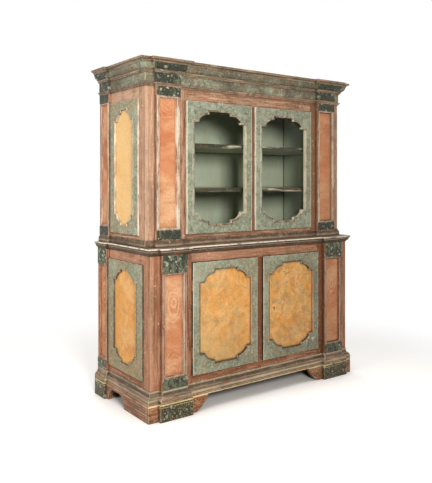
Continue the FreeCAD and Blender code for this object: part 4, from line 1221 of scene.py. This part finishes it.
class CABINET_OT_ironwork(bpy.types.Operator):
    """Paint the hinges over with the frames' red and finish the lock"""

    bl_idname = "cabinet.ironwork"
    bl_label = "Ironwork"

    def execute(self, context):
        for name in NODES:
            if "hinge" in name:
                stage = name.split("_")[0]
                paint_faces(name, lambda centre, normal: red_paint(stage, "z"))
            if name.startswith("lock"):
                paint_faces(name, lambda centre, normal: forged_iron())
        return {"FINISHED"}


# Studio: where the camera stands, as the photograph's two vanishing points give it
CAMERA_PLACE = (-2.722, -3.539)
CAMERA_AIM = (0.5895, 0.8078)
FOCAL_PIXELS = 614.3
HORIZON_ROW = 183.74
PICTURE_ROWS = 483
SENSOR_MM = 36.0

# Softboxes: place, aim, width in metres and watts
LAMPS = {
    "key_softbox": ((-2.08, -4.28, 2.2), (0.0, -0.3, 1.1), 1.0, 192),
    "side_softbox": ((-4.6, -0.3, 2.1), (-0.8, 0.0, 1.1), 2.0, 90),
    "top_softbox": ((-0.6, -1.2, 4.8), (-0.2, 0.0, 1.0), 2.6, 30),
    "back_softbox": ((1.2, 4.6, 2.8), (0.0, 0.3, 1.1), 2.4, 70),
}
ROOM_LIGHT = 0.03

# From the first of these distances to the second the floor turns to paper white
FLOOR_ENDS = (1.4, 2.6)


def seen_itself(tree):
    """1 where a surface is seen, mirrored or seen through glass, and 0 where it only lights."""
    path = add(tree, "ShaderNodeLightPath")
    seen = add(tree, "ShaderNodeMath", {
        0: path.outputs["Is Camera Ray"], 1: path.outputs["Is Glossy Ray"],
    }, operation="MAXIMUM")
    seen = add(tree, "ShaderNodeMath", {
        0: seen.outputs[0], 1: path.outputs["Is Transmission Ray"],
    }, operation="MAXIMUM")
    return seen.outputs[0]


class CABINET_OT_studio(bpy.types.Operator):
    """Set floor, lamps, world and camera"""

    bl_idname = "cabinet.studio"
    bl_label = "Studio"

    def execute(self, context):
        scene = context.scene
        studio = group("studio")
        scene.view_settings.view_transform = "Standard"

        bpy.ops.mesh.primitive_plane_add(size=studio.floor_size)
        floor = context.active_object
        floor.name = "studio_floor"
        floor.data.materials.append(self.floor_paint())

        camera = bpy.data.cameras.new("camera")
        camera.sensor_width = SENSOR_MM
        camera.lens = FOCAL_PIXELS / PICTURE_ROWS * SENSOR_MM
        camera.shift_y = (HORIZON_ROW - PICTURE_ROWS / 2) / PICTURE_ROWS
        eye = bpy.data.objects.new("camera", camera)
        eye.location = (*CAMERA_PLACE, studio.eye_height)
        eye.rotation_euler = (math.pi / 2, 0, -math.atan2(*CAMERA_AIM))
        scene.collection.objects.link(eye)
        scene.camera = eye

        for name, (place, aim, size, watts) in LAMPS.items():
            self.lamp(name, place, aim, size, watts)
        self.world(scene)
        return {"FINISHED"}

    def floor_paint(self):
        """Matt white floor that keeps the cabinet's shadow and runs out to paper white. A glow
        that only the camera sees brightens it, dimmed by ambient occlusion into a painted soft
        shadow round the cabinet.
        """
        material, tree = blank("studio_floor_paint")
        lit = add(tree, "ShaderNodeBsdfDiffuse", {"Color": linear("#9c9a97")})
        shaded = add(tree, "ShaderNodeBsdfDiffuse", {"Color": linear("#f2ece4")})
        open_air = add(tree, "ShaderNodeAmbientOcclusion", {"Distance": 0.5}, samples=8)
        # Painted shadow: the glow fades where ambient occlusion finds the cabinet near
        glow_outside_painted_shadow = add(tree, "ShaderNodeMapRange", {
            "Value": open_air.outputs["AO"], "From Min": 0.30, "From Max": 0.85,
            "To Max": 0.55,
        }, interpolation_type="SMOOTHSTEP")
        glow = add(tree, "ShaderNodeEmission", {
            "Color": (1, 1, 1, 1), "Strength": glow_outside_painted_shadow.outputs[0],
        })
        near = add(tree, "ShaderNodeAddShader", {0: shaded.outputs[0], 1: glow.outputs[0]})
        paper = add(tree, "ShaderNodeEmission", {"Color": (1, 1, 1, 1), "Strength": 1.0})
        coords = add(tree, "ShaderNodeTexCoord")
        away = add(tree, "ShaderNodeVectorMath", {0: coords.outputs["Object"]},
                   operation="LENGTH")
        far = add(tree, "ShaderNodeMapRange", {
            "Value": away.outputs["Value"], "From Min": FLOOR_ENDS[0],
            "From Max": FLOOR_ENDS[1],
        }, interpolation_type="SMOOTHSTEP")
        shown = add(tree, "ShaderNodeMixShader", {
            0: far.outputs[0], 1: near.outputs[0], 2: paper.outputs[0],
        })
        both = add(tree, "ShaderNodeMixShader", {
            0: seen_itself(tree), 1: lit.outputs[0], 2: shown.outputs[0],
        })
        add(tree, "ShaderNodeOutputMaterial", {"Surface": both.outputs[0]})
        return material

    def lamp(self, name, place, aim, size, watts):
        """A square softbox at a place, turned to its aim."""
        light = bpy.data.lights.new(name, "AREA")
        light.shape = "SQUARE"
        light.size = size
        light.energy = watts
        item = bpy.data.objects.new(name, light)
        item.location = place
        item.rotation_euler = (Vector(aim) - item.location).to_track_quat("-Z", "Y").to_euler()
        bpy.context.scene.collection.objects.link(item)

    def world(self, scene):
        """Even light of a pale room, paper white where it is seen."""
        world = bpy.data.worlds.new("studio")
        world.use_nodes = True
        tree = world.node_tree
        tree.nodes.clear()
        soft = add(tree, "ShaderNodeBackground", {"Color": (1, 1, 1, 1), "Strength": ROOM_LIGHT})
        white = add(tree, "ShaderNodeBackground", {"Color": (1, 1, 1, 1), "Strength": 1.0})
        both = add(tree, "ShaderNodeMixShader", {
            0: seen_itself(tree), 1: soft.outputs[0], 2: white.outputs[0],
        })
        add(tree, "ShaderNodeOutputWorld", {"Surface": both.outputs[0]})
        scene.world = world


class CABINET_PT_panel(bpy.types.Panel):
    """Colours, wear and studio of the cabinet"""

    bl_label = "Cabinet"
    bl_idname = "CABINET_PT_panel"
    bl_space_type = "VIEW_3D"
    bl_region_type = "UI"
    bl_category = "Cabinet"

    def draw(self, context):
        for name in GROUPS:
            values = getattr(context.scene, name)
            for key in values.__annotations__:
                self.layout.prop(values, key)
        for operator in OPERATORS:
            self.layout.operator(operator.bl_idname)


GROUPS = {"paint": PaintColours, "wear": WearSizes, "studio": StudioSizes}
OPERATORS = (
    CABINET_OT_doors, CABINET_OT_side_frames, CABINET_OT_carcass, CABINET_OT_pilasters,
    CABINET_OT_mouldings, CABINET_OT_ironwork, CABINET_OT_studio,
)
CLASSES = (*GROUPS.values(), *OPERATORS, CABINET_PT_panel)


def register():
    for item in CLASSES:
        bpy.utils.register_class(item)
    for name, kind in GROUPS.items():
        setattr(bpy.types.Scene, name, bpy.props.PointerProperty(type=kind))


def unregister():
    for name in GROUPS:
        delattr(bpy.types.Scene, name)
    for item in reversed(CLASSES):
        bpy.utils.unregister_class(item)


def main():
    """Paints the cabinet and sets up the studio."""
    register()
    for operator in OPERATORS:
        area, name = operator.bl_idname.split(".")
        getattr(getattr(bpy.ops, area), name)()


if __name__ == "__main__":
    main()
